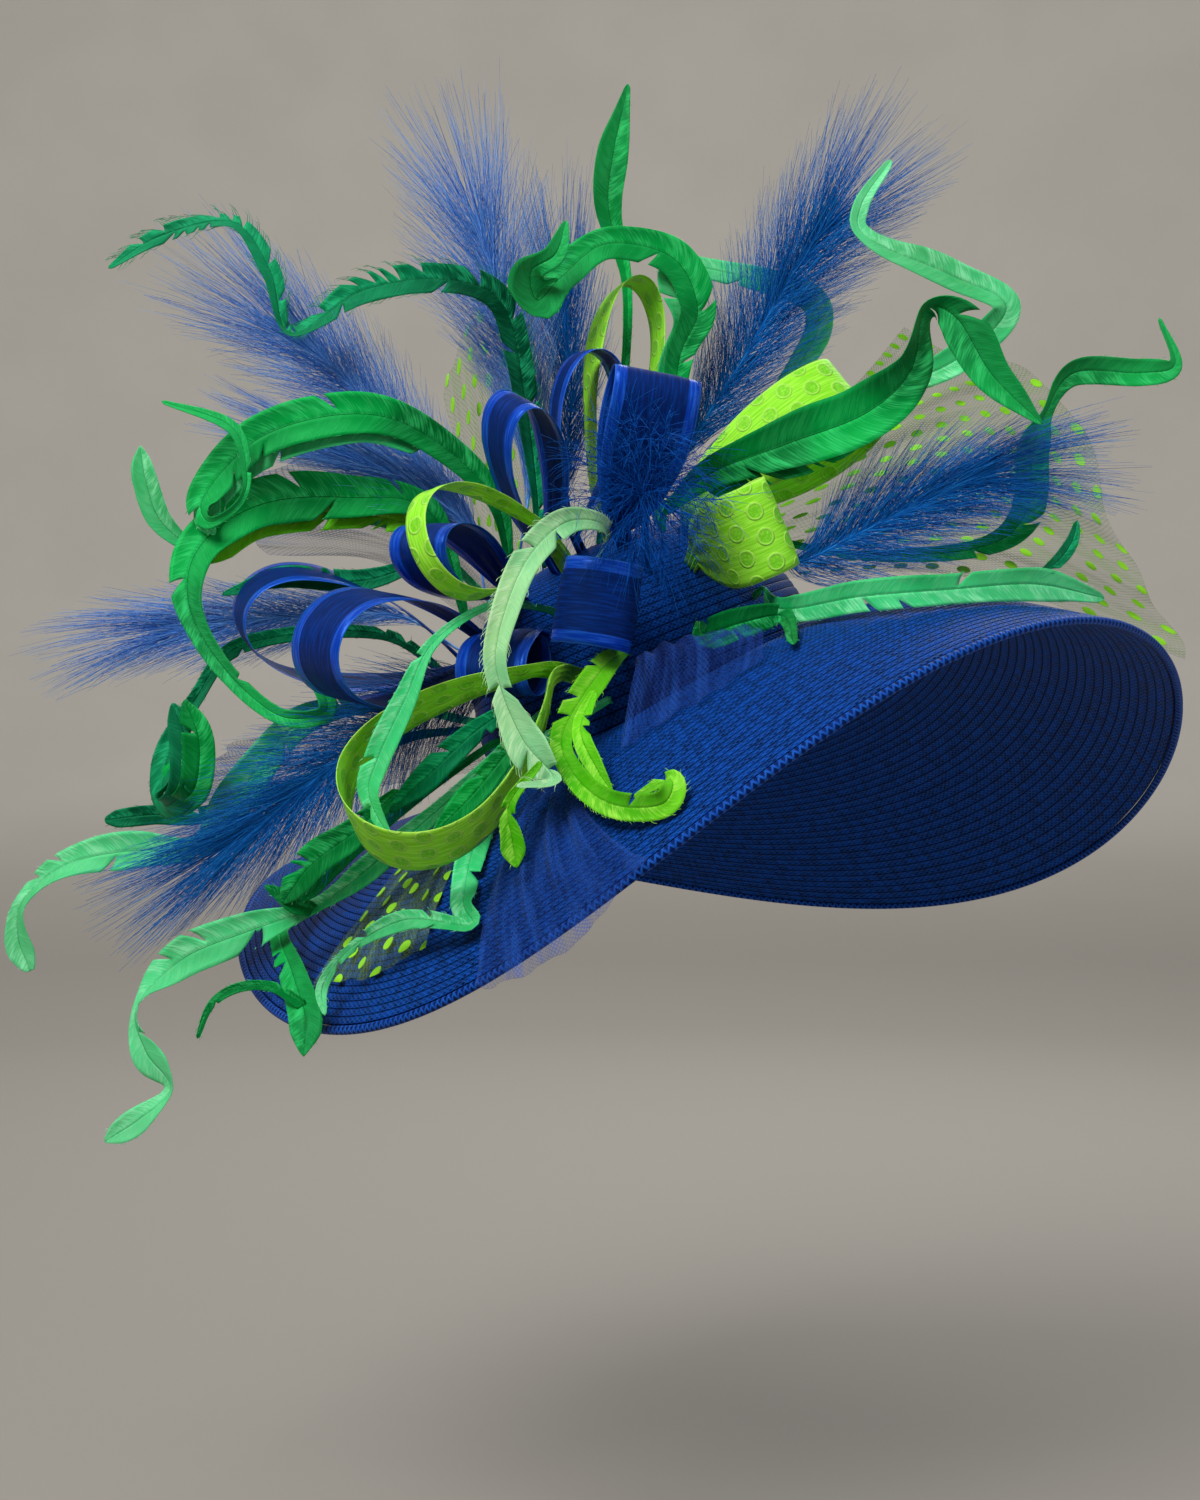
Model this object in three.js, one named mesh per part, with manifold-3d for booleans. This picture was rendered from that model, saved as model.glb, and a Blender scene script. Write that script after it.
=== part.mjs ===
// Derby hat: a wide swept straw brim and an oval crown, trimmed on one side with curled feathers,
// barbed plumes, loops of satin-edged and dotted ribbon, and net veiling.
// Millimetres, +Z up. The origin is the middle of the head opening, +X to the right, +Y to the back.
import * as THREE from 'three';
import { mergeVertices } from 'three/addons/utils/BufferGeometryUtils.js';
import Module from 'manifold-3d';

const wasm = await Module();
wasm.setup();

// Crown
const CROWN_HALF_LENGTH = 101;
const CROWN_HALF_WIDTH = 86;
const CROWN_HEIGHT = 107;
const WALL = 2;
const HAT_TILT = THREE.MathUtils.degToRad(23);
const CROWN_ROUNDNESS = 0.55;
const CROWN_RISE = 0.9;
const CROWN_SIDES = 36;
const CROWN_STEPS = 8;

// Brim: an oval plan whose rim rises and falls once and twice a turn
const BRIM_HALF_LENGTH = 265;
const BRIM_HALF_DEPTH = 235;
const RIM_DROP = -72;
const RIM_WAVES = [
  // turns, cosine height, sine height
  [1, -45, -28],
  [2, 8, -58],
  [3, 1, 5],
];
const BRIM_DROOP = 1.2;
const BRIM_BULGE = 13;
const BRIM_BULGE_SWING = 10;
const BULGE_TURN = Math.PI / 4;
const BULGE_LEAN = 0.8;
const BRIM_SIDES = 56;
const BRIM_STEPS = 7;
const RIM_RADIUS = 2.4;
const RIM_SIDES = 6;
const NEAR_RIM = 0.97;
const GAP = 0.3;

// Trim
const FEATHER_THICKNESS = 1;
const PLUME_THICKNESS = 2;
const RIBBON_THICKNESS = 1;
const NET_THICKNESS = 1;
const STEPS_PER_ROW = 2;
const STEEPEST_SIGHT = 0.45;
const LOOP_STEPS = 16;
const EYE = new THREE.Vector3(-37, -1200, -36);

// A point read in the upright plane through the origin, moved along its sight line to its depth
function placed(right, up, back) {
  const away = (back - EYE.y) / -EYE.y;
  return new THREE.Vector3(
    EYE.x + (right - EYE.x) * away,
    back,
    EYE.z + (up - EYE.z) * away,
  );
}

// A point of the untilted hat, turned to the way the hat is worn
function worn(x, y, z) {
  return new THREE.Vector3(x, y, z).applyAxisAngle(new THREE.Vector3(0, 1, 0), -HAT_TILT);
}

function solid(name, geometry, finish) {
  geometry.deleteAttribute('normal');
  geometry.deleteAttribute('uv');
  const mesh = new THREE.Mesh(mergeVertices(geometry, 1e-3), new THREE.MeshStandardMaterial(finish));
  mesh.name = name;
  return mesh;
}

// Joins rings of points into one closed skin. Both faces of a sheet are cut along the same
// diagonal, so they stay apart where it twists. An open row gets a cap at each end, laddered from
// one face of the sheet to the other.
function ringSkin(rings, closed) {
  const count = rings[0].length;
  const position = [];
  const index = [];
  rings.flat().forEach((p) => position.push(p.x, p.y, p.z));
  const last = closed ? rings.length : rings.length - 1;
  for (let i = 0; i < last; i += 1) {
    for (let j = 0; j < count; j += 1) {
      const next = ((i + 1) % rings.length) * count;
      const [a, b] = [i * count + j, i * count + ((j + 1) % count)];
      const [d, c] = [next + j, next + ((j + 1) % count)];
      if (j < count / 2) index.push(a, b, d, b, c, d);
      else index.push(a, b, c, a, c, d);
    }
  }
  if (!closed) {
    const end = (rings.length - 1) * count;
    for (let j = 0; j < count / 2 - 1; j += 1) {
      const [a, b, c, d] = [j, j + 1, count - 2 - j, count - 1 - j];
      index.push(a, c, b, a, d, c);
      index.push(end + a, end + b, end + c, end + a, end + c, end + d);
    }
  }
  const geometry = new THREE.BufferGeometry();
  geometry.setAttribute('position', new THREE.Float32BufferAttribute(position, 3));
  geometry.setIndex(index);
  return geometry;
}

// Crown surface at an angle around and a rise from the opening (0) to the top (90 degrees)
function crownProfile(rise, wall) {
  const angle = THREE.MathUtils.degToRad(rise);
  return {
    spread: Math.cos(angle) ** CROWN_ROUNDNESS,
    height: (CROWN_HEIGHT - wall) * Math.sin(angle) ** CROWN_RISE,
  };
}

function crownPoint(around, rise) {
  const angle = THREE.MathUtils.degToRad(around);
  const { spread, height } = crownProfile(rise, 0);
  return worn(
    CROWN_HALF_LENGTH * spread * Math.cos(angle),
    CROWN_HALF_WIDTH * spread * Math.sin(angle),
    height,
  );
}

function crownSeat(around, rise) {
  const point = crownPoint(around, rise);
  const sideways = crownPoint(around + 1, rise).sub(crownPoint(around - 1, rise));
  const upward = crownPoint(around, rise + 1).sub(crownPoint(around, rise - 1));
  return { point, normal: sideways.cross(upward).normalize() };
}

function crown() {
  const half = CROWN_HALF_LENGTH;
  const rises = Array.from({ length: CROWN_STEPS + 1 }, (_, i) => (90 * i) / CROWN_STEPS);
  const profile = [];
  [...rises].reverse().forEach((rise) => {
    const { spread, height } = crownProfile(rise, WALL);
    profile.push(new THREE.Vector2(rise === 90 ? 0 : (half - WALL) * spread, height));
  });
  rises.forEach((rise) => {
    const { spread, height } = crownProfile(rise, 0);
    profile.push(new THREE.Vector2(rise === 90 ? 0 : half * spread, height));
  });
  const geometry = new THREE.LatheGeometry(profile, CROWN_SIDES);
  geometry.rotateX(Math.PI / 2);
  geometry.scale(1, CROWN_HALF_WIDTH / CROWN_HALF_LENGTH, 1);
  geometry.rotateY(-HAT_TILT);
  return solid('crown', geometry, { color: 0x16307c, roughness: 0.7, metalness: 0 });
}

// Brim surface at an angle around and a share of the way out, 0 at the crown and 1 at the rim
function brimSurface(around, share) {
  const angle = THREE.MathUtils.degToRad(around);
  const rim = RIM_WAVES.reduce(
    (sum, [turns, cosine, sine]) => sum + cosine * Math.cos(turns * angle) + sine * Math.sin(turns * angle),
    RIM_DROP,
  );
  const inner = GAP * 2;
  const x = THREE.MathUtils.lerp(CROWN_HALF_LENGTH + inner, BRIM_HALF_LENGTH, share) * Math.cos(angle);
  const y = THREE.MathUtils.lerp(CROWN_HALF_WIDTH + inner, BRIM_HALF_DEPTH, share) * Math.sin(angle);
  const bulge = BRIM_BULGE + BRIM_BULGE_SWING * Math.cos(angle + BULGE_TURN);
  const out = Math.max(share, 0);
  const arch = Math.sin(Math.PI * Math.min(out, 1) ** BULGE_LEAN);
  return worn(x, y, rim * out ** BRIM_DROOP + bulge * arch);
}

function brimPoint(around, share, lift) {
  if (share === 0) return brimSurface(around, 0).add(worn(0, 0, lift));
  const outward = brimSurface(around, share + 0.01).sub(brimSurface(around, share - 0.01));
  const along = brimSurface(around + 1, share).sub(brimSurface(around - 1, share));
  return brimSurface(around, share).addScaledVector(outward.cross(along).normalize(), lift);
}

function brim() {
  const rings = [];
  for (let i = 0; i < BRIM_SIDES; i += 1) {
    const around = (360 * i) / BRIM_SIDES;
    const shares = Array.from({ length: BRIM_STEPS + 1 }, (_, k) => k / BRIM_STEPS);
    const top = shares.map((share) => brimPoint(around, share, WALL));
    const under = shares.map((share) => brimPoint(around, share, 0)).reverse();
    rings.push([...under, ...top]);
  }
  return solid('brim', ringSkin(rings, true), { color: 0x16307c, roughness: 0.7, metalness: 0 });
}

// Rolled edge: a six-sided rope outside the rim
function brimEdge() {
  const rings = [];
  for (let i = 0; i < BRIM_SIDES; i += 1) {
    const around = (360 * i) / BRIM_SIDES;
    const rim = brimPoint(around, 1, WALL / 2);
    const inside = brimPoint(around, NEAR_RIM, WALL / 2);
    const outward = rim.clone().sub(inside).normalize();
    const along = brimPoint(around + 1, 1, WALL / 2).sub(brimPoint(around - 1, 1, WALL / 2)).normalize();
    const upward = outward.clone().cross(along).normalize();
    const reach = RIM_RADIUS * Math.cos(Math.PI / RIM_SIDES) + GAP * 2;
    const middle = rim.clone().addScaledVector(outward, reach);
    const ring = [];
    for (let j = 0; j < RIM_SIDES; j += 1) {
      const turn = (-2 * Math.PI * (j + 0.5)) / RIM_SIDES;
      const p = middle.clone();
      p.addScaledVector(outward, RIM_RADIUS * Math.cos(turn));
      p.addScaledVector(upward, RIM_RADIUS * Math.sin(turn));
      ring.push(p);
    }
    rings.push(ring);
  }
  return solid('brim_edge', ringSkin(rings, true), { color: 0x2f55b8, roughness: 0.6, metalness: 0 });
}

function smooth(points) {
  return new THREE.CatmullRomCurve3(points, false, 'catmullrom');
}

// A smooth route through points with further values carried along it
function route(points, values, steps) {
  const curve = smooth(points);
  const carried = smooth(values);
  const count = steps ?? (points.length - 1) * STEPS_PER_ROW;
  return Array.from({ length: count + 1 }, (_, i) => ({
    point: curve.getPoint(i / count),
    tangent: curve.getTangent(i / count),
    value: carried.getPoint(i / count),
  }));
}

// Width directions along a route: across the sight line, then turned by the carried face angle
function acrossSight(stations) {
  const sight = new THREE.Vector3(0, 1, 0);
  let last = new THREE.Vector3(1, 0, 0);
  const sides = [];
  [...stations].reverse().forEach(({ tangent }) => {
    const side = tangent.clone().cross(sight);
    if (side.length() < STEEPEST_SIGHT) side.copy(last).addScaledVector(tangent, -last.dot(tangent));
    last = side.normalize();
    sides.unshift(side.clone());
  });
  return sides.map((side, i) => {
    const { tangent, value } = stations[i];
    return side.applyAxisAngle(tangent, THREE.MathUtils.degToRad(value.y));
  });
}

// A thin strip with square edges along a route
function strip(stations, sides, widths, thickness, sweeps) {
  const rings = stations.map(({ point, tangent }, i) => {
    const side = sides[i];
    const face = side.clone().cross(tangent).normalize();
    const half = widths[i] / 2;
    const sweep = sweeps ? sweeps[i] : 0;
    return [[-1, 1], [1, 1], [1, -1], [-1, -1]].map(([s, f]) => point.clone()
      .addScaledVector(side, s * half)
      .addScaledVector(tangent, sweep)
      .addScaledVector(face, (f * thickness) / 2));
  });
  return ringSkin(rings, false);
}

// Feathers: seat on the crown as angle around and rise, then rows of
// right, up, back, width and face angle
const SEAT_WIDTH = 4;
const SEAT_LIFT = 9;
const TIP_WIDTH = 1.5;
const GREEN = 0x1fae5e;
const MINT = 0x4fdc95;
const DARK = 0x0c7a4c;
const PALE = 0xa6dc96;
const LIME = 0x8fdc3c;

const FEATHERS = {
  feather_left_hackle: { colour: DARK, seat: [224, 80], rows: [
    [-72, 127, -24, 8, 20],
    [-79, 184, -28, 12, 10],
    [-92, 238, -36, 12, 0],
    [-127, 252, -48, 13, 10],
    [-172, 245, -52, 13, 0],
    [-211, 221, -56, 6, 40],
    [-223, 257, -60, 9, 10],
    [-244, 284, -62, 6, 20],
    [-285, 276, -62, 7, 0],
    [-314, 258, -60, 2, 0],
  ] },
  feather_left_arch: { colour: GREEN, seat: [222, 68], rows: [
    [-97, 129, -56, 12, 10],
    [-138, 166, -66, 19, 0],
    [-178, 176, -74, 24, 0],
    [-228, 163, -72, 23, 0],
    [-260, 130, -70, 16, 10],
    [-257, 115, -76, 6, 30],
    [-240, 126, -86, 4, 30],
    [-236, 143, -90, 5, 10],
    [-245, 169, -90, 7, 0],
    [-284, 183, -88, 2, 0],
  ] },
  feather_left_sweep: { colour: GREEN, seat: [198, 52], rows: [
    [-132, 120, -42, 14, 0],
    [-180, 129, -50, 26, 0],
    [-228, 125, -58, 27, 0],
    [-262, 102, -66, 22, 10],
    [-269, 70, -72, 14, 0],
    [-250, 34, -80, 10, 0],
    [-218, 6, -86, 9, 10],
    [-191, 9, -92, 11, 40],
    [-199, 30, -98, 4, 0],
  ] },
  feather_left_tip: { colour: MINT, seat: [190, 66], rows: [
    [-150, 112, -12, 6, 0],
    [-228, 120, -30, 7, 0],
    [-262, 102, -40, 7, 0],
    [-284, 115, -48, 13, 0],
    [-293, 139, -50, 13, 0],
    [-296, 158, -50, 2, 0],
  ] },
  feather_far_left_fold: { colour: DARK, seat: [186, 34], rows: [
    [-160, 52, -16, 7, 0],
    [-237, 46, -34, 9, 0],
    [-265, 15, -46, 9, 0],
    [-281, -19, -56, 17, 20],
    [-283, -44, -66, 17, 60],
    [-272, -36, -78, 17, 20],
    [-270, -10, -82, 16, 0],
    [-278, 13, -84, 3, 0],
  ] },
  feather_left_strip: { colour: DARK, seat: [184, 20], rows: [
    [-150, -8, 4, 6, 0],
    [-210, -34, 6, 8, 0],
    [-262, -50, -4, 10, 0],
    [-290, -50, -6, 11, 0],
    [-316, -53, -8, 9, 0],
  ] },
  feather_low_left: { colour: GREEN, seat: [204, 20], rows: [
    [-160, 12, -48, 8, 0],
    [-206, 2, -58, 18, 0],
    [-239, -36, -62, 21, 0],
    [-262, -68, -66, 14, 20],
    [-301, -70, -70, 21, 0],
    [-338, -78, -72, 14, 20],
    [-362, -98, -74, 9, 30],
    [-365, -118, -74, 15, 10],
    [-358, -138, -74, 13, 0],
  ] },
  feather_long_twist: { colour: MINT, seat: [236, 14], rows: [
    [-120, -40, -112, 8, 0],
    [-161, -75, -112, 14, 0],
    [-196, -101, -106, 8, 20],
    [-234, -115, -98, 22, 0],
    [-272, -131, -92, 20, 10],
    [-298, -158, -88, 7, 60],
    [-293, -183, -86, 18, 10],
    [-279, -204, -84, 8, 50],
    [-296, -221, -80, 15, 10],
    [-316, -234, -76, 5, 0],
  ] },
  feather_rim_drop: { colour: DARK, seat: [213, 12], rows: [
    [-150, -48, -58, 6, 0],
    [-194, -88, -52, 7, 0],
    [-217, -112, -78, 10, 0],
    [-211, -141, -112, 14, 0],
    [-201, -166, -146, 16, 0],
    [-203, -184, -152, 2, 0],
  ], branch: [
    [-203, -158, -137, 6, 0],
    [-221, -147, -140, 5, 0],
    [-240, -147, -142, 5, 0],
    [-256, -157, -144, 4, 0],
    [-264, -176, -146, 2, 0],
  ] },
  feather_front_thin: { colour: MINT, seat: [256, 10], rows: [
    [-84, -20, -108, 8, 0],
    [-106, -62, -140, 14, 0],
    [-114, -98, -172, 12, 10],
    [-110, -112, -190, 7, 40],
    [-146, -109, -172, 10, 10],
    [-177, -125, -150, 5, 10],
    [-193, -146, -144, 6, 0],
    [-192, -163, -152, 2, 0],
  ] },
  feather_front_hook: { colour: MINT, seat: [248, 42], rows: [
    [-98, 68, -140, 4, 0],
    [-131, 47, -162, 6, 0],
    [-147, 15, -168, 13, 0],
    [-163, -20, -168, 13, 0],
    [-167, -40, -168, 9, 10],
    [-153, -68, -166, 2, 0],
  ] },
  feather_pale: { colour: PALE, seat: [264, 50], rows: [
    [-33, 111, -138, 8, 10],
    [-56, 115, -160, 14, 0],
    [-80, 91, -178, 15, 0],
    [-95, 48, -184, 12, 0],
    [-93, 25, -184, 9, 20],
    [-76, -12, -184, 14, 0],
    [-63, -30, -190, 9, 40],
    [-88, -34, -204, 4, 60],
  ] },
  feather_lime_curl: { colour: LIME, seat: [266, 20], rows: [
    [-36, 32, -132, 14, 0],
    [-58, -4, -158, 11, 0],
    [-51, -28, -184, 12, 0],
    [-30, -44, -210, 13, 0],
    [-2, -44, -226, 13, 0],
    [3, -30, -224, 8, 20],
    [-18, -40, -212, 2, 30],
  ] },
  feather_top_spike: { colour: GREEN, seat: [80, 78], rows: [
    [-24, 190, 22, 5, 0],
    [-22, 250, 16, 8, 0],
    [-32, 300, 10, 16, 0],
    [-28, 330, 6, 14, 0],
    [-21, 362, 2, 2, 0],
  ] },
  feather_top_arch: { colour: GREEN, seat: [292, 78], rows: [
    [0, 160, -24, 7, 0],
    [8, 208, -26, 15, 0],
    [18, 235, -28, 18, 0],
    [4, 264, -30, 20, 0],
    [-33, 272, -34, 17, 0],
    [-58, 254, -38, 18, 10],
    [-74, 240, -46, 20, 30],
    [-80, 256, -54, 14, 30],
    [-62, 266, -60, 9, 10],
    [-56, 285, -60, 2, 0],
  ] },
  feather_mint: { colour: MINT, seat: [12, 78], rows: [
    [42, 160, 16, 6, 0],
    [70, 196, 16, 10, 0],
    [86, 226, 14, 14, 10],
    [74, 245, 10, 14, 10],
    [10, 261, 4, 10, 0],
  ] },
  feather_right_fold: { colour: GREEN, seat: [304, 62], rows: [
    [23, 141, -64, 18, 0],
    [65, 158, -72, 28, 0],
    [112, 176, -78, 27, 0],
    [138, 200, -82, 20, 20],
    [146, 234, -86, 14, 60],
    [164, 230, -94, 22, 20],
    [184, 198, -96, 17, 0],
    [212, 170, -92, 2, 0],
  ] },
  feather_right_ring: { colour: MINT, seat: [342, 66], rows: [
    [74, 158, -6, 7, 0],
    [118, 186, -18, 11, 0],
    [163, 206, -34, 17, 0],
    [192, 236, -44, 15, 10],
    [161, 254, -42, 15, 0],
    [114, 275, -40, 8, 20],
    [110, 293, -40, 8, 0],
    [127, 319, -40, 2, 0],
  ] },
  feather_right_tall: { colour: GREEN, seat: [346, 36], rows: [
    [110, 96, -24, 6, 0],
    [175, 100, -24, 11, 0],
    [202, 118, -24, 19, 0],
    [207, 155, -26, 17, 0],
    [214, 176, -28, 9, 40],
    [230, 199, -30, 15, 20],
    [268, 199, -30, 14, 0],
    [287, 204, -30, 7, 20],
    [278, 230, -30, 2, 0],
  ] },
  feather_brim_right: { colour: MINT, seat: [314, 22], rows: [
    [66, 66, -120, 13, 0],
    [110, 73, -152, 16, 0],
    [160, 77, -154, 16, 0],
    [208, 80, -134, 16, 0],
    [247, 72, -114, 4, 0],
  ] },
  feather_under_veil: { colour: GREEN, seat: [289, 20], rows: [
    [22, 52, -102, 12, 0],
    [42, 58, -120, 11, 0],
    [66, 64, -136, 6, 20],
    [72, 46, -176, 2, 0],
  ] },
};

function blade(points, rows) {
  const values = [];
  for (let i = points.length; i > 0; i -= 1) values.push(new THREE.Vector3(SEAT_WIDTH, rows[0][4], 0));
  rows.forEach(([, , , width, face]) => values.push(new THREE.Vector3(width, face, 0)));
  const open = rows.map(([right, up, back]) => placed(right, up, back));
  const stations = route([...points, ...open], values);
  if (points.length) stations.splice(1, STEPS_PER_ROW - 1);
  const widths = stations.map(({ value }) => Math.max(value.x, TIP_WIDTH));
  return strip(stations, acrossSight(stations), widths, FEATHER_THICKNESS);
}

function feather(name, { colour, seat, rows, branch }) {
  const { point, normal } = crownSeat(...seat);
  const root = [GAP, SEAT_LIFT].map((lift) => point.clone().addScaledVector(normal, lift));
  let geometry = blade(root, rows);
  if (branch) geometry = fromManifold(toManifold(geometry).add(toManifold(blade([], branch))));
  return solid(name, geometry, { color: colour, roughness: 0.55, metalness: 0 });
}

// Plumes: seat on the crown, then rows of right, up, back and width over the barbs
const BARB_SWEEP = 0.75;
const NOTCH_WIDTH = 0.6;
const NOTCH_SWEEP = 0.3;
const BARB_START = 24;
const BARB_GAP = 4;
const PLUME_STEPS = 14;
const ROYAL = 0x2350b4;

const PLUMES = {
  plume_left: { seat: [192, 74], rows: [
    [-104, 104, -22, 6],
    [-134, 142, -28, 44],
    [-177, 192, -30, 66],
    [-225, 232, -30, 76],
    [-274, 266, -30, 16],
  ] },
  plume_top_left: { seat: [180, 79], rows: [
    [-76, 150, -8, 6],
    [-88, 216, -12, 60],
    [-102, 272, -14, 96],
    [-118, 320, -14, 84],
    [-132, 356, -14, 12],
  ] },
  plume_top_right: { seat: [340, 79], rows: [
    [14, 160, -4, 8],
    [45, 209, -6, 60],
    [73, 257, -8, 80],
    [104, 300, -8, 84],
    [140, 342, -8, 14],
  ] },
  plume_right: { seat: [328, 38], rows: [
    [72, 92, -58, 12],
    [104, 106, -60, 56],
    [140, 124, -60, 74],
    [182, 142, -58, 64],
    [236, 146, -56, 12],
  ] },
  plume_far_left: { seat: [178, 46], rows: [
    [-150, 62, -6, 8],
    [-200, 62, -8, 34],
    [-250, 58, -8, 56],
    [-300, 52, -8, 52],
    [-342, 40, -8, 10],
  ] },
  plume_low_left: { seat: [218, 28], rows: [
    [-140, 8, -84, 10],
    [-176, -14, -84, 46],
    [-220, -48, -82, 62],
    [-262, -78, -80, 50],
    [-306, -106, -78, 10],
  ] },
  plume_left_low: { seat: [210, 60], rows: [
    [-112, 112, -34, 10],
    [-150, 140, -40, 46],
    [-200, 160, -42, 36],
    [-230, 170, -42, 8],
  ] },
  plume_back: { seat: [120, 66], rows: [
    [-54, 172, 26, 30],
    [-56, 220, 26, 60],
    [-60, 262, 26, 54],
    [-62, 300, 26, 8],
  ] },
};

function plume(name, { seat, rows }) {
  const { point, normal } = crownSeat(...seat);
  const points = [GAP, SEAT_LIFT].map((lift) => point.clone().addScaledVector(normal, lift));
  const values = [new THREE.Vector3(SEAT_WIDTH, 0, 0), new THREE.Vector3(SEAT_WIDTH, 0, 0)];
  rows.forEach(([right, up, back, width]) => {
    points.push(placed(right, up, back));
    values.push(new THREE.Vector3(width, 0, 0));
  });
  const stations = route(points, values, PLUME_STEPS);
  stations.splice(1, 1);
  const notch = (i) => i % 2 === 0;
  const widths = stations.map(({ value }, i) => {
    const width = Math.max(value.x, SEAT_WIDTH);
    return width > BARB_START && notch(i) ? width * NOTCH_WIDTH : width;
  });
  const sweeps = widths.map((width, i) => {
    if (width < BARB_START * NOTCH_WIDTH) return 0;
    return (notch(i) ? NOTCH_SWEEP : BARB_SWEEP) * (width / 2);
  });
  for (let i = stations.length - 2; i >= 0; i -= 1) {
    const step = stations[i].point.distanceTo(stations[i + 1].point);
    sweeps[i] = Math.min(sweeps[i], sweeps[i + 1] + step - BARB_GAP);
  }
  const geometry = strip(stations, acrossSight(stations), widths, PLUME_THICKNESS, sweeps);
  return solid(name, geometry, { color: ROYAL, roughness: 0.8, metalness: 0 });
}

// Centre plume: a short core with locks standing out all round, joined into one body
const PUFF_SEAT = [284, 46];
const PUFF_MIDDLE = [-12, 136, -128];
const PUFF_CORE = [15, 12, 30];
const PUFF_LOCKS = 16;
const LOCK_LENGTH = 62;
const LOCK_RADIUS = 6;
const STEM_RADIUS = 3;
const PUFF_DEPTH = 0.75;
const PUFF_SLIMNESS = 0.8;

function toManifold(geometry) {
  geometry.deleteAttribute('normal');
  geometry.deleteAttribute('uv');
  const merged = mergeVertices(geometry, 1e-3);
  return new wasm.Manifold(new wasm.Mesh({
    numProp: 3,
    vertProperties: new Float32Array(merged.attributes.position.array),
    triVerts: new Uint32Array(merged.index.array),
  }));
}

function fromManifold(body) {
  const mesh = body.getMesh();
  const geometry = new THREE.BufferGeometry();
  geometry.setAttribute('position', new THREE.Float32BufferAttribute(mesh.vertProperties, 3));
  geometry.setIndex(Array.from(mesh.triVerts));
  return geometry;
}

function spike(from, to, radius, sides) {
  const length = from.distanceTo(to);
  const geometry = new THREE.ConeGeometry(radius, length, sides);
  geometry.translate(0, length / 2, 0);
  const direction = to.clone().sub(from).normalize();
  const turn = new THREE.Quaternion().setFromUnitVectors(new THREE.Vector3(0, 1, 0), direction);
  geometry.applyQuaternion(turn);
  geometry.translate(from.x, from.y, from.z);
  return geometry;
}

function centrePlume() {
  const { point, normal } = crownSeat(...PUFF_SEAT);
  const middle = placed(...PUFF_MIDDLE);
  const core = new THREE.SphereGeometry(1, 8, 6);
  core.scale(...PUFF_CORE);
  core.translate(middle.x, middle.y, middle.z);
  let body = toManifold(core);
  const base = point.clone().addScaledVector(normal, GAP);
  const stem = spike(base, middle, STEM_RADIUS, 5);
  body = body.add(toManifold(stem));
  for (let i = 0; i < PUFF_LOCKS; i += 1) {
    const share = (i + 0.5) / PUFF_LOCKS;
    const turn = i * Math.PI * (3 - Math.sqrt(5));
    const back = -PUFF_DEPTH * (1 - share);
    const spread = Math.sqrt(1 - back * back);
    const right = spread * Math.cos(turn) * PUFF_SLIMNESS;
    const direction = new THREE.Vector3(right, back, spread * Math.sin(turn));
    const tip = middle.clone().addScaledVector(direction, LOCK_LENGTH);
    body = body.add(toManifold(spike(middle, tip, LOCK_RADIUS, 4)));
  }
  return solid('plume_centre', fromManifold(body), { color: ROYAL, roughness: 0.8, metalness: 0 });
}

// Ribbon loops: seat, height of the neck where the loop opens, tip as right, up, back, half
// opening, ribbon width, and the direction of the ribbon's width as right, up, back
const NAVY = 0x16286a;
const LOOP_ROOT_WIDTH = 9;
const LOOP_NECK = 11;
const ROOT_SPREAD = 1.5;
const LEG_STEP = 14;
const LOOP_FULLNESS = 1.3;
const ROOT_STEPS = 6;

const LOOPS = {
  ribbon_left: {
    colour: NAVY, seat: [203, 38], tip: [-240, 68, -90],
    open: 28, width: 38, across: [0.6, -0.35, -0.72],
  },
  ribbon_left_front: {
    colour: NAVY, seat: [222, 38], tip: [-198, 44, -148],
    open: 28, width: 38, across: [0.6, -0.2, -0.78],
  },
  ribbon_rolled: {
    colour: NAVY, seat: [230, 56], tip: [-140, 104, -128],
    open: 16, width: 34, across: [0.5, 0.1, -0.85],
  },
  ribbon_upper_left: {
    colour: NAVY, seat: [248, 66], tip: [-86, 184, -112],
    open: 16, width: 28, across: [0.4, 0.05, -0.9],
  },
  ribbon_top_arch: {
    colour: NAVY, seat: [262, 76], tip: [-40, 212, -46],
    open: 18, width: 26, across: [0.3, -0.25, -0.9],
  },
  ribbon_upright: {
    colour: NAVY, seat: [284, 64], tip: [-4, 199, -106],
    open: 13, width: 46, across: [1, 0, 0.1],
  },
  ribbon_front: {
    colour: NAVY, seat: [262, 34], tip: [-38, 70, -142],
    open: 20, width: 44, across: [0.15, 1, 0.05],
  },
  ribbon_low_front: {
    colour: NAVY, seat: [240, 37], tip: [-98, 24, -122],
    open: 14, width: 40, across: [1, 0.1, -0.3],
  },
  ribbon_lime_front: {
    colour: LIME, seat: [300, 40], tip: [62, 114, -120],
    open: 16, width: 48, across: [0.57, -0.82, -0.1],
  },
  ribbon_lime_behind: {
    colour: LIME, seat: [322, 62], tip: [108, 186, -34],
    open: 16, width: 52, across: [0.7, -0.65, -0.3],
  },
  ribbon_lime_top: {
    colour: LIME, seat: [300, 86], tip: [-17, 251, -8],
    open: 19, width: 22, across: [0.4, 0, -0.92],
  },
  ribbon_lime_hanging: {
    colour: LIME, seat: [252, 18], neck: 62, tip: [-170, -62, -184],
    open: 38, width: 32, across: [0.1, 0.7, -0.7],
  },
  ribbon_lime_ring: {
    colour: LIME, seat: [258, 54], neck: 40, tip: [-139, 103, -178],
    open: 28, width: 14, across: [0.15, 0.1, -1],
  },
};

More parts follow.
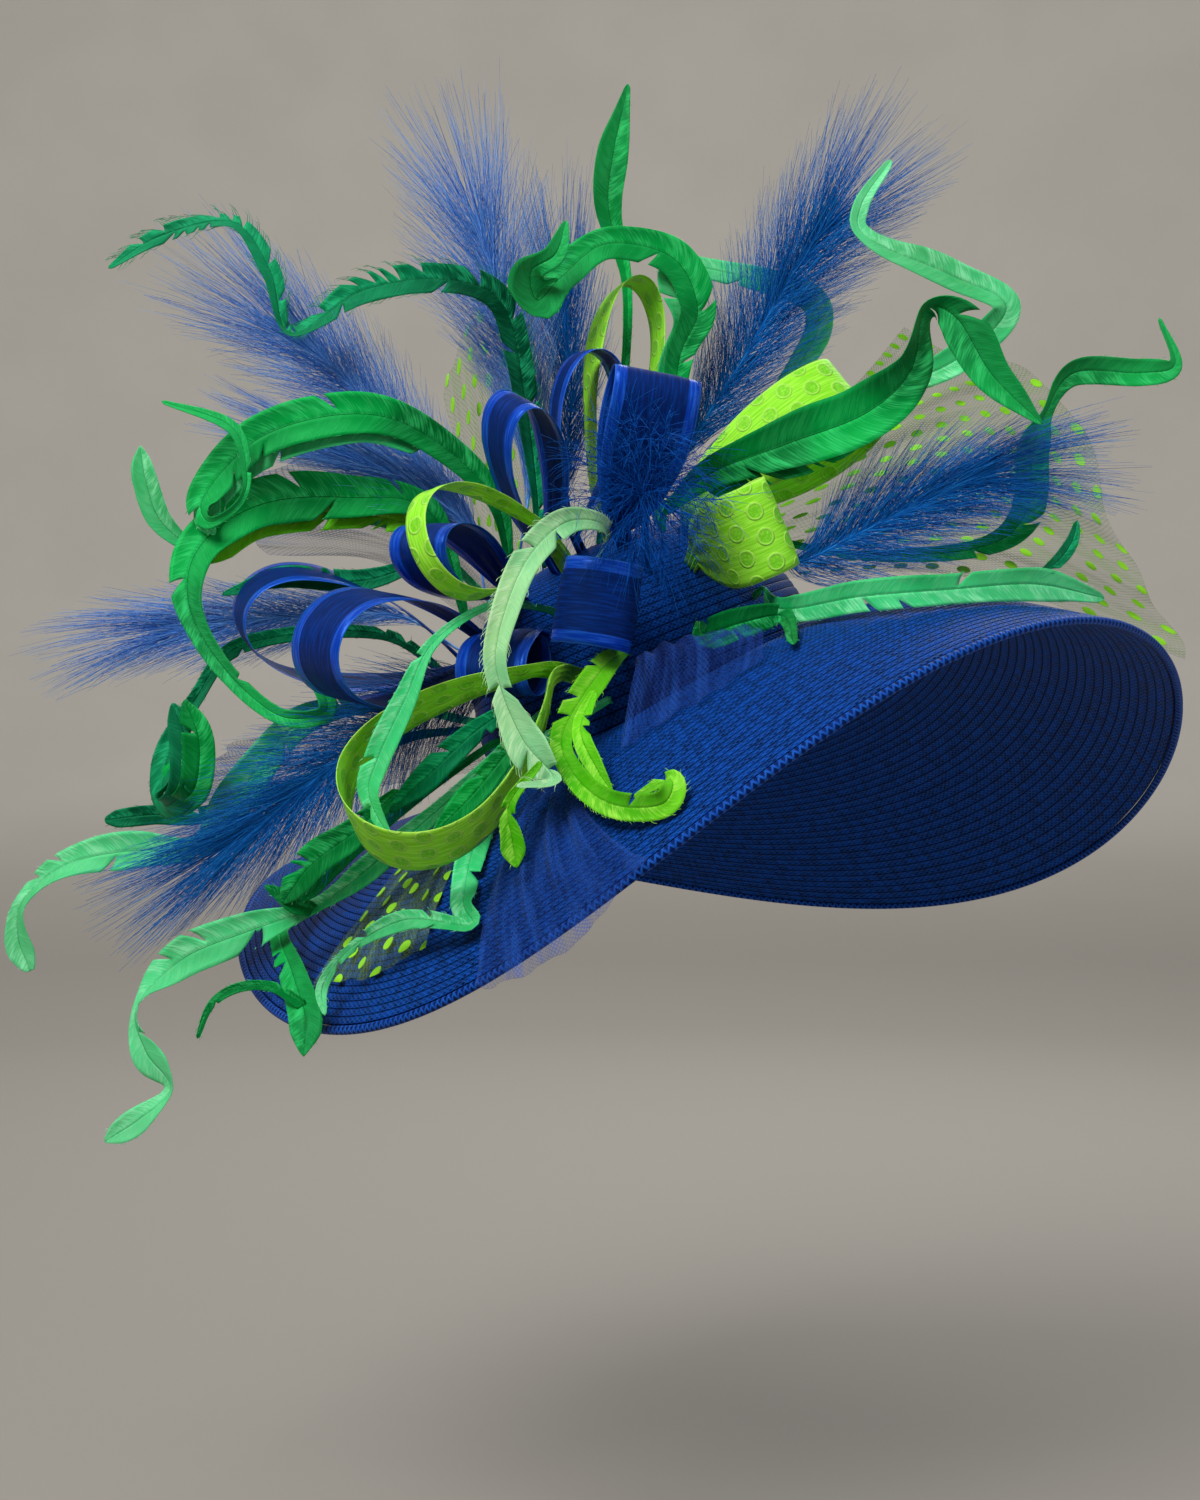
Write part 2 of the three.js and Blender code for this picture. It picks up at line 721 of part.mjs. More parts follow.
function loop(name, { colour, seat, neck: lift = LOOP_NECK, tip, open, width, across }) {
  const { point, normal } = crownSeat(...seat);
  const neck = point.clone().addScaledVector(normal, lift);
  const end = placed(...tip);
  const axis = end.clone().sub(neck);
  const length = axis.length();
  axis.normalize();
  const side = new THREE.Vector3(across[0], across[2], across[1]);
  side.addScaledVector(axis, -side.dot(axis)).normalize();
  const bulge = side.clone().cross(axis);
  const rootSide = side.clone().addScaledVector(normal, -side.dot(normal)).normalize();
  const legSteps = Math.max(1, Math.round(lift / LEG_STEP));
  const leg = Array.from({ length: legSteps }, (_, k) => {
    const share = k / legSteps;
    const facing = rootSide.clone().lerp(side, share);
    const foot = point.clone().addScaledVector(normal, THREE.MathUtils.lerp(GAP, lift, share));
    return { foot, facing, apart: facing.clone().cross(normal).setLength(ROOT_SPREAD) };
  });
  const up = leg.map(({ foot, facing, apart }) => ({ point: foot.clone().add(apart), facing }));
  const down = leg.map(({ foot, facing, apart }) => ({ point: foot.clone().sub(apart), facing }));
  const skipped = legSteps > 1 ? 1 : 0;
  const round = Array.from({ length: LOOP_STEPS + 1 - 2 * skipped }, (_, i) => {
    const t = (i + skipped) / LOOP_STEPS;
    const along = length * Math.sin(Math.PI * t) ** 2;
    const swell = open * LOOP_FULLNESS * Math.sin(2 * Math.PI * t) * Math.sin(Math.PI * t);
    const out = swell + ROOT_SPREAD * (1 - 2 * t);
    return { point: neck.clone().addScaledVector(axis, along).addScaledVector(bulge, out), facing: side };
  });
  const path = [...up, ...round, ...down.reverse()];
  const curve = smooth(path.map((row) => row.point));
  const stations = path.map((row, i) => ({
    point: row.point,
    tangent: curve.getTangent(i / (path.length - 1)),
  }));
  const sides = stations.map(({ tangent }, i) => {
    const facing = path[i].facing.clone();
    return facing.addScaledVector(tangent, -facing.dot(tangent)).normalize();
  });
  const widths = stations.map((_, i) => {
    const fromLeg = Math.min(i, path.length - 1 - i) - legSteps + 1;
    return THREE.MathUtils.lerp(LOOP_ROOT_WIDTH, width, THREE.MathUtils.smoothstep(fromLeg, 0, ROOT_STEPS));
  });
  const geometry = strip(stations, sides, widths, RIBBON_THICKNESS);
  return solid(name, geometry, { color: colour, roughness: 0.4, metalness: 0 });
}

// Net: edges on the crown (around, rise, lift), on the brim (around, share, lift) or in the open
// (right, up, back), joined across with gathers
const NET_BLUE = 0x2a4a8c;
const NET_LIME = 0x7fae4a;
const NET_SPAN = 12;

const NETS = {
  net_front: { colour: NET_BLUE, gathers: 3, depth: 2, edges: [
    ['crown', [[260, 12, 0.5], [266, 12, 0.5], [272, 12, 0.5], [277, 12, 0.5]]],
    ['open', [[-18, 36, -134], [2, 46, -138], [28, 52, -142], [50, 56, -146]]],
    ['brim', [[261, 0.52, 3], [269, 0.54, 3], [277, 0.56, 3], [285, 0.56, 3]]],
  ] },
  net_rim: { colour: NET_BLUE, gathers: 3, depth: 2, edges: [
    ['brim', [[240, 0.4, 0.9], [244, 0.4, 0.9], [248, 0.42, 0.9], [252, 0.54, 0.9]]],
    ['brim', [[240, 0.8, 6], [246, 0.84, 9], [252, 0.86, 9], [258, 0.86, 6]]],
    ['brim', [[241, 1.06, 4], [248, 1.16, 2], [255, 1.14, 2], [262, 1.06, 4]]],
  ] },
  net_band: { colour: NET_BLUE, gathers: 2, depth: 0, edges: [
    ['brim', [[302, 0.1, 1.2], [311, 0.14, 1.2], [322, 0.24, 1.2], [334, 0.4, 1.2]]],
    ['brim', [[300, 0.28, 5], [309, 0.34, 5], [321, 0.42, 4.5], [334, 0.56, 4]]],
    ['brim', [[299, 0.46, 4], [308, 0.5, 4], [320, 0.6, 4], [334, 0.72, 3.5]]],
  ] },
  net_left_low: { colour: NET_BLUE, gathers: 2, depth: 1.2, edges: [
    ['crown', [[180, 21, 0.5], [180, 14, 0.5], [180, 7, 0.5]]],
    ['open', [[-205, -4, 26], [-200, -20, 24], [-200, -40, 24]]],
    ['open', [[-240, -8, 16], [-261, -27, 12], [-256, -52, 12]]],
  ] },
  net_left_high: { colour: NET_BLUE, gathers: 2, depth: 2.5, edges: [
    ['crown', [[176, 56, 0.9], [178, 64, 0.9], [180, 72, 0.9]]],
    ['open', [[-160, 92, 6], [-155, 112, 6], [-140, 136, 6]]],
    ['open', [[-222, 96, 4], [-246, 124, 4], [-205, 158, 4]]],
  ] },
  net_dotted_right: { colour: NET_LIME, gathers: 3, depth: 4, edges: [
    ['crown', [[26, 30, 0.9], [20, 44, 0.9], [16, 58, 0.9], [14, 68, 0.9]]],
    ['open', [[170, 84, 40], [170, 130, 38], [140, 170, 38], [100, 186, 40]]],
    ['open', [[289, 38, 14], [262, 100, 22], [214, 190, 30], [134, 224, 38]]],
  ] },
  net_dotted_left: { colour: NET_LIME, gathers: 2, depth: 0, edges: [
    ['brim', [[206, 0.46, 1.1], [216, 0.42, 1.1], [226, 0.42, 1.1]]],
    ['brim', [[208, 0.9, 4], [218, 0.88, 4], [230, 0.84, 4]]],
  ] },
  net_dotted_top: { colour: NET_LIME, gathers: 2, depth: 2, edges: [
    ['crown', [[150, 56, 0.9], [136, 54, 0.9], [122, 52, 0.9]]],
    ['open', [[-125, 184, 46], [-108, 236, 46], [-72, 240, 46]]],
  ] },
};

function edgePoint(kind, row) {
  if (kind === 'open') return placed(row.x, row.y, row.z);
  if (kind === 'brim') return brimPoint(row.x, row.y, WALL + row.z);
  const { point, normal } = crownSeat(row.x, row.y);
  return point.addScaledVector(normal, row.z);
}

function net(name, { colour, gathers, depth, edges }) {
  const flat = edges.every(([kind]) => kind === 'brim');
  const curves = edges.map(([, rows]) => smooth(rows.map((row) => new THREE.Vector3(...row))));
  const layers = edges.length === 3 ? 4 : 3;
  const grid = [];
  for (let i = 0; i <= NET_SPAN; i += 1) {
    const rows = curves.map((curve) => curve.getPoint(i / NET_SPAN));
    const across = smooth(flat ? rows : rows.map((row, k) => edgePoint(edges[k][0], row)));
    const column = Array.from({ length: layers + 1 }, (_, k) => across.getPoint(k / layers));
    grid.push(flat ? column.map((row) => edgePoint('brim', row)) : column);
  }
  const normalAt = (sheet, i, k) => {
    const du = sheet[Math.min(i + 1, NET_SPAN)][k].clone().sub(sheet[Math.max(i - 1, 0)][k]);
    const dv = sheet[i][Math.min(k + 1, layers)].clone().sub(sheet[i][Math.max(k - 1, 0)]);
    return du.cross(dv).normalize();
  };
  const gathered = grid.map((column, i) => {
    const wave = depth * Math.sin((2 * Math.PI * gathers * i) / NET_SPAN);
    return column.map((p, k) => p.clone()
      .addScaledVector(normalAt(grid, i, k), wave * Math.sin((Math.PI * k) / layers)));
  });
  const rings = gathered.map((column, i) => {
    const skin = (face) => column.map((p, k) => p.clone()
      .addScaledVector(normalAt(gathered, i, k), (face * NET_THICKNESS) / 2));
    return [...skin(-1), ...skin(1).reverse()];
  });
  return solid(name, ringSkin(rings, false), { color: colour, roughness: 0.9, metalness: 0 });
}

const hat = new THREE.Group();
hat.add(crown(), brim(), brimEdge(), centrePlume());
Object.entries(FEATHERS).forEach(([name, form]) => hat.add(feather(name, form)));
Object.entries(PLUMES).forEach(([name, form]) => hat.add(plume(name, form)));
Object.entries(LOOPS).forEach(([name, form]) => hat.add(loop(name, form)));
Object.entries(NETS).forEach(([name, form]) => hat.add(net(name, form)));
export default hat;
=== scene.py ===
import math
import random

import bmesh
import bpy
import numpy as np
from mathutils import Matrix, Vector


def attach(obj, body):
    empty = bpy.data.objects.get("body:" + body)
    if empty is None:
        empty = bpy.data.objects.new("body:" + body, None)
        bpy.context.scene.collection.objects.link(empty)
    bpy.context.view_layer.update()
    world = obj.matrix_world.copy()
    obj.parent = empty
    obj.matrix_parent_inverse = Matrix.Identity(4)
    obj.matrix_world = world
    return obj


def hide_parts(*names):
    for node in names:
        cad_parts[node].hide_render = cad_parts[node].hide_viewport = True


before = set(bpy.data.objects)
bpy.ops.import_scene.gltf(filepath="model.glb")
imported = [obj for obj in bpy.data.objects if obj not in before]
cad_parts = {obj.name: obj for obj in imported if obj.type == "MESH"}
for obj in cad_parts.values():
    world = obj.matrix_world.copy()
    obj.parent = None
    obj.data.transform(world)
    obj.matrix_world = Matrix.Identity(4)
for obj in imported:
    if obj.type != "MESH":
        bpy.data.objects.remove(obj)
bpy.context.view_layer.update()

# Sizes of the hat, in metres, and how it is worn
EYE = np.array([-0.037, -1.2, -0.036])
CROWN_HALF_LENGTH = 0.101
CROWN_HALF_WIDTH = 0.086
CROWN_HEIGHT = 0.107
WALL = 0.002
HAT_TILT = math.radians(23)
CROWN_ROUNDNESS = 0.55
CROWN_RISE = 0.9
BRIM_HALF_LENGTH = 0.265
BRIM_HALF_DEPTH = 0.235
RIM_DROP = -0.072
RIM_WAVES = ((1, -0.045, -0.028), (2, 0.008, -0.058), (3, 0.001, 0.005))
BRIM_DROOP = 1.2
BRIM_BULGE = 0.013
BRIM_BULGE_SWING = 0.010
BULGE_TURN = math.pi / 4
BULGE_LEAN = 0.8
GAP = 0.0003
UP = np.array([0.0, 0.0, 1.0])
BRIM_ROWS = 44
CROWN_ROWS = 34
MM = 0.001


# Vectors along a curve or over a surface are arrays with one row for each point
def unit(rows):
    return rows / np.maximum(np.linalg.norm(rows, axis=-1, keepdims=True), 1e-9)


def placed(right, up, back):
    """A point read in the upright plane through the origin, moved along its sight line to its depth."""
    back = back * MM
    away = (back - EYE[1]) / -EYE[1]
    return np.array([
        EYE[0] + (right * MM - EYE[0]) * away,
        back,
        EYE[2] + (up * MM - EYE[2]) * away,
    ])


def worn(x, y, z):
    """A point of the untilted hat, turned to the way the hat is worn."""
    cosine, sine = math.cos(HAT_TILT), math.sin(HAT_TILT)
    return np.stack([x * cosine - z * sine, y + 0 * x, x * sine + z * cosine], axis=-1)


def crown_point(around, rise, inside=0.0):
    """The crown's surface at an angle around and a rise from the opening, both in degrees."""
    around, rise = np.radians(around), np.radians(np.clip(rise, 0, 90))
    spread = np.cos(rise) ** CROWN_ROUNDNESS
    height = (CROWN_HEIGHT - inside) * np.sin(rise) ** CROWN_RISE
    return worn(
        (CROWN_HALF_LENGTH - inside) * spread * np.cos(around),
        (CROWN_HALF_WIDTH - inside) * spread * np.sin(around),
        height,
    )


def crown_seat(around, rise):
    """A point of the crown and the way out from it."""
    point = crown_point(around, rise)
    sideways = crown_point(around + 1, rise) - crown_point(around - 1, rise)
    upward = crown_point(around, rise + 1) - crown_point(around, rise - 1)
    return point, unit(np.cross(sideways, upward))


def brim_surface(around, share):
    """The brim's underside at an angle around, and a share of the way out to the rim."""
    around = np.radians(around)
    rim = RIM_DROP + sum(c * np.cos(k * around) + s * np.sin(k * around) for k, c, s in RIM_WAVES)
    inner = GAP * 2
    x = (CROWN_HALF_LENGTH + inner) * (1 - share) + BRIM_HALF_LENGTH * share
    y = (CROWN_HALF_WIDTH + inner) * (1 - share) + BRIM_HALF_DEPTH * share
    out = np.maximum(share, 0)
    bulge = BRIM_BULGE + BRIM_BULGE_SWING * np.cos(around + BULGE_TURN)
    arch = np.sin(np.pi * np.minimum(out, 1) ** BULGE_LEAN)
    return worn(x * np.cos(around), y * np.sin(around), rim * out ** BRIM_DROOP + bulge * arch)


def brim_point(around, share, lift):
    """A point lifted off the brim's underside."""
    share = np.maximum(share, 0.001)
    outward = brim_surface(around, share + 0.01) - brim_surface(around, share - 0.01)
    along = brim_surface(around + 1, share) - brim_surface(around - 1, share)
    normal = unit(np.cross(outward, along))
    lift = np.asarray(lift)[..., None] if np.ndim(lift) else lift
    return brim_surface(around, share) + normal * lift


def smooth(points, count):
    """Samples a smooth curve through the points, count of them at even steps."""
    points = np.asarray(points, float)
    ends = np.vstack([2 * points[0] - points[1], points, 2 * points[-1] - points[-2]])
    at = np.linspace(0, len(points) - 1, count)
    k = np.minimum(at.astype(int), len(points) - 2)
    t = (at - k)[:, None]
    a, b, c, d = ends[k], ends[k + 1], ends[k + 2], ends[k + 3]
    return 0.5 * (
        2 * b + (c - a) * t + (2 * a - 5 * b + 4 * c - d) * t ** 2 + (3 * b - a - 3 * c + d) * t ** 3
    )


class Route:
    """A smooth route with values carried along it, read by the length from its start. A rooted
    route is straight between its first two points."""

    def __init__(self, points, values, step, rooted=False):
        fine = 24 * (len(points) - 1) + 1
        place, carried = smooth(points, fine), smooth(values, fine)
        if rooted:
            place, carried = np.delete(place, range(1, 24), 0), np.delete(carried, range(1, 24), 0)
        arc = np.concatenate([[0], np.cumsum(np.linalg.norm(np.diff(place, axis=0), axis=1))])
        self.length = arc[-1]
        self.at = np.linspace(0, self.length, max(8, round(self.length / step)) + 1)
        self.place = np.stack([np.interp(self.at, arc, place[:, k]) for k in range(3)], axis=1)
        self.values = np.stack(
            [np.interp(self.at, arc, carried[:, k]) for k in range(carried.shape[1])], axis=1
        )
        self.tangent = unit(np.gradient(self.place, axis=0))

    def read(self, rows, at):
        at = np.clip(at, 0, self.length)
        return np.stack([np.interp(at, self.at, rows[:, k]) for k in range(rows.shape[1])], axis=-1)


END_ON = 0.45
SIDE_BLEND = 9


def across_sight(tangent, faces):
    """Width directions along a route: across the sight line, then turned by the face angle. Where
    the route runs nearly along the sight line, the direction is carried on from its neighbour."""
    last = np.array([1.0, 0.0, 0.0])
    sides = np.zeros_like(tangent)
    for i in range(len(tangent) - 1, -1, -1):
        side = np.cross(tangent[i], [0.0, 1.0, 0.0])
        if np.linalg.norm(side) < END_ON:
            side = last - tangent[i] * last.dot(tangent[i])
        last = side / np.linalg.norm(side)
        sides[i] = last
    reach = np.ones(SIDE_BLEND) / SIDE_BLEND
    padded = np.pad(sides, ((SIDE_BLEND // 2, SIDE_BLEND // 2), (0, 0)), mode="edge")
    sides = np.stack([np.convolve(padded[:, k], reach, mode="valid") for k in range(3)], axis=1)
    sides = unit(sides - tangent * (sides * tangent).sum(axis=1, keepdims=True))
    turn = np.radians(faces)[:, None]
    return sides * np.cos(turn) + np.cross(tangent, sides) * np.sin(turn)


# Making pieces
def finished(name, mesh, material, nodes=()):
    """A mesh as a piece of the hat, standing for the named solids."""
    piece = bpy.data.objects.new(name, mesh)
    bpy.context.scene.collection.objects.link(piece)
    mesh.materials.append(material)
    mesh.polygons.foreach_set("use_smooth", [True] * len(mesh.polygons))
    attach(piece, "root")
    if nodes:
        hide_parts(*nodes)
    return piece


def grid_sheet(name, along, across, shape, gone=None, closed=False):
    """A sheet of along by across faces: shape gives the place and the fit of each grid point, and
    gone, where given, tells which faces are cut away."""
    shell = bmesh.new()
    fit = shell.loops.layers.uv.new("fit")
    bmesh.ops.create_grid(shell, x_segments=along, y_segments=across, size=0.5, calc_uvs=True)
    cells = np.array([v.co[:2] for v in shell.verts]) + 0.5
    u, v = cells[:, 0], cells[:, 1]
    place, marks = shape(u, v)
    for vert, point in zip(shell.verts, place):
        vert.co = point
    shell.verts.index_update()
    for face in shell.faces:
        for corner in face.loops:
            corner[fit].uv = marks[corner.vert.index]
    if gone is not None:
        centres = [np.mean([cells[c.index] for c in f.verts], axis=0) for f in shell.faces]
        cut = [f for f, c in zip(shell.faces, centres) if gone(c[0], c[1])]
        bmesh.ops.delete(shell, geom=cut, context="FACES")
    if closed:
        bmesh.ops.remove_doubles(shell, verts=shell.verts, dist=1e-6)
    bmesh.ops.recalc_face_normals(shell, faces=shell.faces)
    mesh = bpy.data.meshes.new(name)
    shell.to_mesh(mesh)
    shell.free()
    return mesh


def thicken(piece, thickness):
    """Gives a sheet its wall, half to each side."""
    wall = piece.modifiers.new("wall", "SOLIDIFY")
    wall.thickness = thickness
    wall.offset = 0.0


def strands(name, paths, radii, material, nodes=()):
    """Many thin tapered strands as one mesh. Each path is an array of points, root to tip."""
    curve = bpy.data.curves.new(name, "CURVE")
    curve.dimensions = "3D"
    curve.bevel_depth = 1.0
    curve.bevel_resolution = 0
    curve.use_fill_caps = True
    reach = []
    for path, radius in zip(paths, radii):
        spline = curve.splines.new("POLY")
        spline.points.add(len(path) - 1)
        spline.points.foreach_set("co", np.hstack([path, np.ones((len(path), 1))]).ravel())
        spline.points.foreach_set("radius", radius)
        reach.append(np.linspace(0, 1, len(path)))
    holder = bpy.data.objects.new(name + "_lines", curve)
    bpy.context.scene.collection.objects.link(holder)
    graph = bpy.context.evaluated_depsgraph_get()
    mesh = bpy.data.meshes.new_from_object(holder.evaluated_get(graph))
    bpy.data.objects.remove(holder)
    bpy.data.curves.remove(curve)
    total = sum(len(r) for r in reach)
    sides = len(mesh.vertices) // total
    mark = mesh.attributes.new("reach", "FLOAT", "POINT")
    values = np.repeat(np.concatenate(reach), sides)
    mark.data.foreach_set("value", np.resize(values, len(mesh.vertices)))
    tone = mesh.attributes.new("tone", "FLOAT", "POINT")
    draw = np.random.default_rng(len(paths)).random(len(paths))
    tones = np.repeat(draw, [len(r) * sides for r in reach])
    tone.data.foreach_set("value", np.resize(tones, len(mesh.vertices)))
    mesh.name = name
    mesh.materials.clear()
    return finished(name, mesh, material, nodes)


# Materials
def tint(code):
    """A colour written as in paint charts, as the linear values that the shader reads."""
    parts = [int(code[k:k + 2], 16) / 255 for k in (0, 2, 4)]
    return tuple(p / 12.92 if p < 0.04 else ((p + 0.055) / 1.055) ** 2.4 for p in parts) + (1.0,)


class Wires:
    """Adds nodes to a tree, with each input given as a value or as another node's output."""

    def __init__(self, tree):
        self.tree = tree

    def add(self, kind, inputs=(), output=0, **settings):
        made = self.tree.nodes.new("ShaderNode" + kind)
        for key, value in settings.items():
            setattr(made, key, value)
        for key, value in dict(inputs).items():
            if isinstance(value, bpy.types.NodeSocket):
                self.tree.links.new(value, made.inputs[key])
            else:
                made.inputs[key].default_value = value
        return made.outputs[output]

    def sum(self, a, b):
        return self.add("Math", {0: a, 1: b}, operation="ADD")

    def times(self, a, b):
        return self.add("Math", {0: a, 1: b}, operation="MULTIPLY")

    def math(self, operation, a, b=0.0, c=0.0):
        return self.add("Math", {0: a, 1: b, 2: c}, operation=operation)

    def ramp(self, value, low, high, to_low=0.0, to_high=1.0):
        ends = {"From Min": low, "From Max": high, "To Min": to_low, "To Max": to_high}
        return self.add("MapRange", {"Value": value, **ends}, interpolation_type="SMOOTHSTEP")

    def mix(self, share, first, second):
        made = self.tree.nodes.new("ShaderNodeMix")
        made.data_type = "RGBA"
        for key, value in ((0, share), (6, first), (7, second)):
            if isinstance(value, bpy.types.NodeSocket):
                self.tree.links.new(value, made.inputs[key])
            else:
                made.inputs[key].default_value = value
        return made.outputs[2]

    def noise(self, vector, scale, detail=2.0):
        return self.add("TexNoise", {"Vector": vector, "Scale": scale, "Detail": detail})

    def vector(self, x=0.0, y=0.0, z=0.0):
        return self.add("CombineXYZ", {0: x, 1: y, 2: z})

    def split(self, vector):
        made = self.tree.nodes.new("ShaderNodeSeparateXYZ")
        self.tree.links.new(vector, made.inputs[0])
        return made.outputs


def effect(name, inputs, outputs, build):
    """A shared effect: a node group with named inputs and outputs, filled in by build."""
    tree = bpy.data.node_groups.new(name, "ShaderNodeTree")
    for label, kind, start in inputs:
        socket = tree.interface.new_socket(name=label, in_out="INPUT", socket_type="NodeSocket" + kind)
        if start is not None:
            socket.default_value = start
    for label, kind in outputs:
        tree.interface.new_socket(name=label, in_out="OUTPUT", socket_type="NodeSocket" + kind)
    source = tree.nodes.new("NodeGroupInput")
    result = tree.nodes.new("NodeGroupOutput")
    made = build(Wires(tree), {s.name: s for s in source.outputs})
    for label, _ in outputs:
        tree.links.new(made[label], result.inputs[label])
    return tree


def barb_streaks(w, given):
    """Fine lines that follow the barbs of a feather, its midrib, and how far out a point lies."""
    along, across, _ = w.split(given["Fit"])
    off = w.math("ABSOLUTE", w.sum(across, -0.5))
    lines = w.noise(w.vector(w.times(along, given["Barbs"]), w.times(across, 3.0)), 1.0, 3.0)
    bands = w.noise(w.vector(w.times(along, 110.0), w.times(across, 2.0)), 1.0, 1.0)
    rib = w.ramp(off, 0.012, 0.04, 1.0, 0.0)
    streak = w.ramp(w.sum(w.times(lines, 0.6), w.times(bands, 0.5)), 0.45, 0.75)
    half = w.ramp(across, 0.46, 0.54)
    height = w.sum(w.times(streak, 0.6), w.times(rib, 1.6))
    return {"Streak": streak, "Midrib": rib, "Half": half, "Height": height}


def straw_braid(w, given):
    """Rows of plaited straw laid over each other: the rows' steps, the middle of each row clear of the
    grooves where the finish paints shade, the plait and loose tone.
    """
    along, across, _ = w.split(given["Fit"])
    row = w.math("FRACT", across)
    step = w.ramp(row, 0.0, 0.16)
    short_of_row_end = w.ramp(row, 0.86, 1.0, 1.0, 0.0)
    turns = w.times(along, given["Plaits"])
    one = w.math("SINE", w.times(w.sum(turns, w.times(across, 2.0)), 6.2832))
    two = w.math("SINE", w.times(w.sum(turns, w.times(across, -2.0)), 6.2832))
    plait = w.math("MAXIMUM", one, two)
    plait = w.ramp(plait, -0.2, 1.0)
    tone = w.noise(w.vector(w.times(along, 260.0), w.times(across, 0.7)), 1.0, 4.0)
    height = w.sum(w.times(w.times(step, short_of_row_end), 0.8), w.times(plait, 0.35))
    return {"Height": height, "Seam": w.times(step, short_of_row_end), "Plait": plait, "Tone": tone}


def cloth_threads(w, given):
    """Plain weave of a ribbon: warp and weft threads as a height."""
    along, across, _ = w.split(given["Fit"])
    warp = w.math("SINE", w.times(across, given["Threads"]))
    weft = w.math("SINE", w.times(along, given["Threads"]))
    height = w.times(w.sum(warp, weft), 0.25)
    tone = w.noise(w.vector(w.times(along, 60.0), w.times(across, 900.0)), 1.0, 2.0)
    return {"Height": height, "Tone": tone}


def round_dots(w, given):
    """Staggered round dots: a mask that is 1 on a dot, and another for its raised outline."""
    along, across, _ = w.split(given["Fit"])
    pitch = given["Pitch"]
    rows = w.math("DIVIDE", along, pitch)
    odd = w.math("MODULO", w.math("FLOOR", rows), 2.0)
    cols = w.sum(w.math("DIVIDE", across, pitch), w.times(odd, 0.5))
    x = w.times(w.sum(w.math("FRACT", rows), -0.5), pitch)
    y = w.times(w.sum(w.math("FRACT", cols), -0.5), pitch)
    away = w.math("SQRT", w.sum(w.times(x, x), w.times(y, y)))
    ratio = w.math("DIVIDE", away, given["Radius"])
    outline = w.times(w.ramp(ratio, 0.68, 0.86), w.ramp(ratio, 0.94, 1.1, 1.0, 0.0))
    return {"Dot": w.ramp(ratio, 0.9, 1.05, 1.0, 0.0), "Outline": outline}


def net_cells(w, given):
    """Small net cells: 1 on a thread and 0 in a hole, and the cloudy streaks where folds gather."""
    along, across, _ = w.split(given["Fit"])
    one = w.times(w.sum(along, w.times(across, 0.6)), given["Cells"])
    two = w.times(w.sum(along, w.times(across, -0.6)), given["Cells"])
    first = w.math("ABSOLUTE", w.sum(w.math("FRACT", one), -0.5))
    second = w.math("ABSOLUTE", w.sum(w.math("FRACT", two), -0.5))
    thread = w.math("MAXIMUM", w.ramp(first, 0.30, 0.42), w.ramp(second, 0.30, 0.42))
    folds = w.noise(w.vector(w.times(along, 70.0), w.times(across, 14.0)), 1.0, 2.0)
    lines = w.noise(w.vector(w.times(along, 260.0), w.times(across, 10.0)), 1.0, 1.0)
    gather = w.ramp(w.sum(w.times(folds, 0.7), w.times(lines, 0.3)), 0.38, 0.66)
    return {"Thread": thread, "Gather": gather}


FIT = ("Fit", "Vector", None)
BARB_STREAKS = effect(
    "barb_streaks", [FIT, ("Barbs", "Float", 700.0)],
    [("Streak", "Float"), ("Midrib", "Float"), ("Half", "Float"), ("Height", "Float")], barb_streaks)
STRAW_BRAID = effect(
    "straw_braid", [FIT, ("Plaits", "Float", 300.0)],
    [("Height", "Float"), ("Seam", "Float"), ("Plait", "Float"), ("Tone", "Float")], straw_braid)
CLOTH_THREADS = effect(
    "cloth_threads", [FIT, ("Threads", "Float", 9000.0)],
    [("Height", "Float"), ("Tone", "Float")], cloth_threads)
ROUND_DOTS = effect(
    "round_dots", [FIT, ("Pitch", "Float", 0.02), ("Radius", "Float", 0.006)],
    [("Dot", "Float"), ("Outline", "Float")], round_dots)
NET_CELLS = effect(
    "net_cells", [FIT, ("Cells", "Float", 400.0)],
    [("Thread", "Float"), ("Gather", "Float")], net_cells)


class Finish:
    """A material being made: its shader, its wires and where its pattern reads from."""

    def __init__(self, name, roughness, **plain):
        self.material = bpy.data.materials.new(name)
        self.material.use_nodes = True
        tree = self.material.node_tree
        self.w = Wires(tree)
        self.shader = tree.nodes["Principled BSDF"]
        self.shader.inputs["Roughness"].default_value = roughness
        self.shader.inputs["Specular IOR Level"].default_value = 0.25
        for key, value in plain.items():
            self.shader.inputs[key.replace("_", " ")].default_value = value

    def fit(self):
        return self.w.add("UVMap", uv_map="fit")

    def spread(self, group, **values):
        made = self.w.tree.nodes.new("ShaderNodeGroup")
        made.node_tree = group
        for key, value in values.items():
            if isinstance(value, bpy.types.NodeSocket):
                self.w.tree.links.new(value, made.inputs[key])
            else:
                made.inputs[key].default_value = value
        return made.outputs

    def feed(self, key, socket):
        self.w.tree.links.new(socket, self.shader.inputs[key])

    def relief(self, height, distance, strength=1.0):
        bump = self.w.add("Bump", {"Height": height, "Distance": distance, "Strength": strength})
        self.feed("Normal", bump)


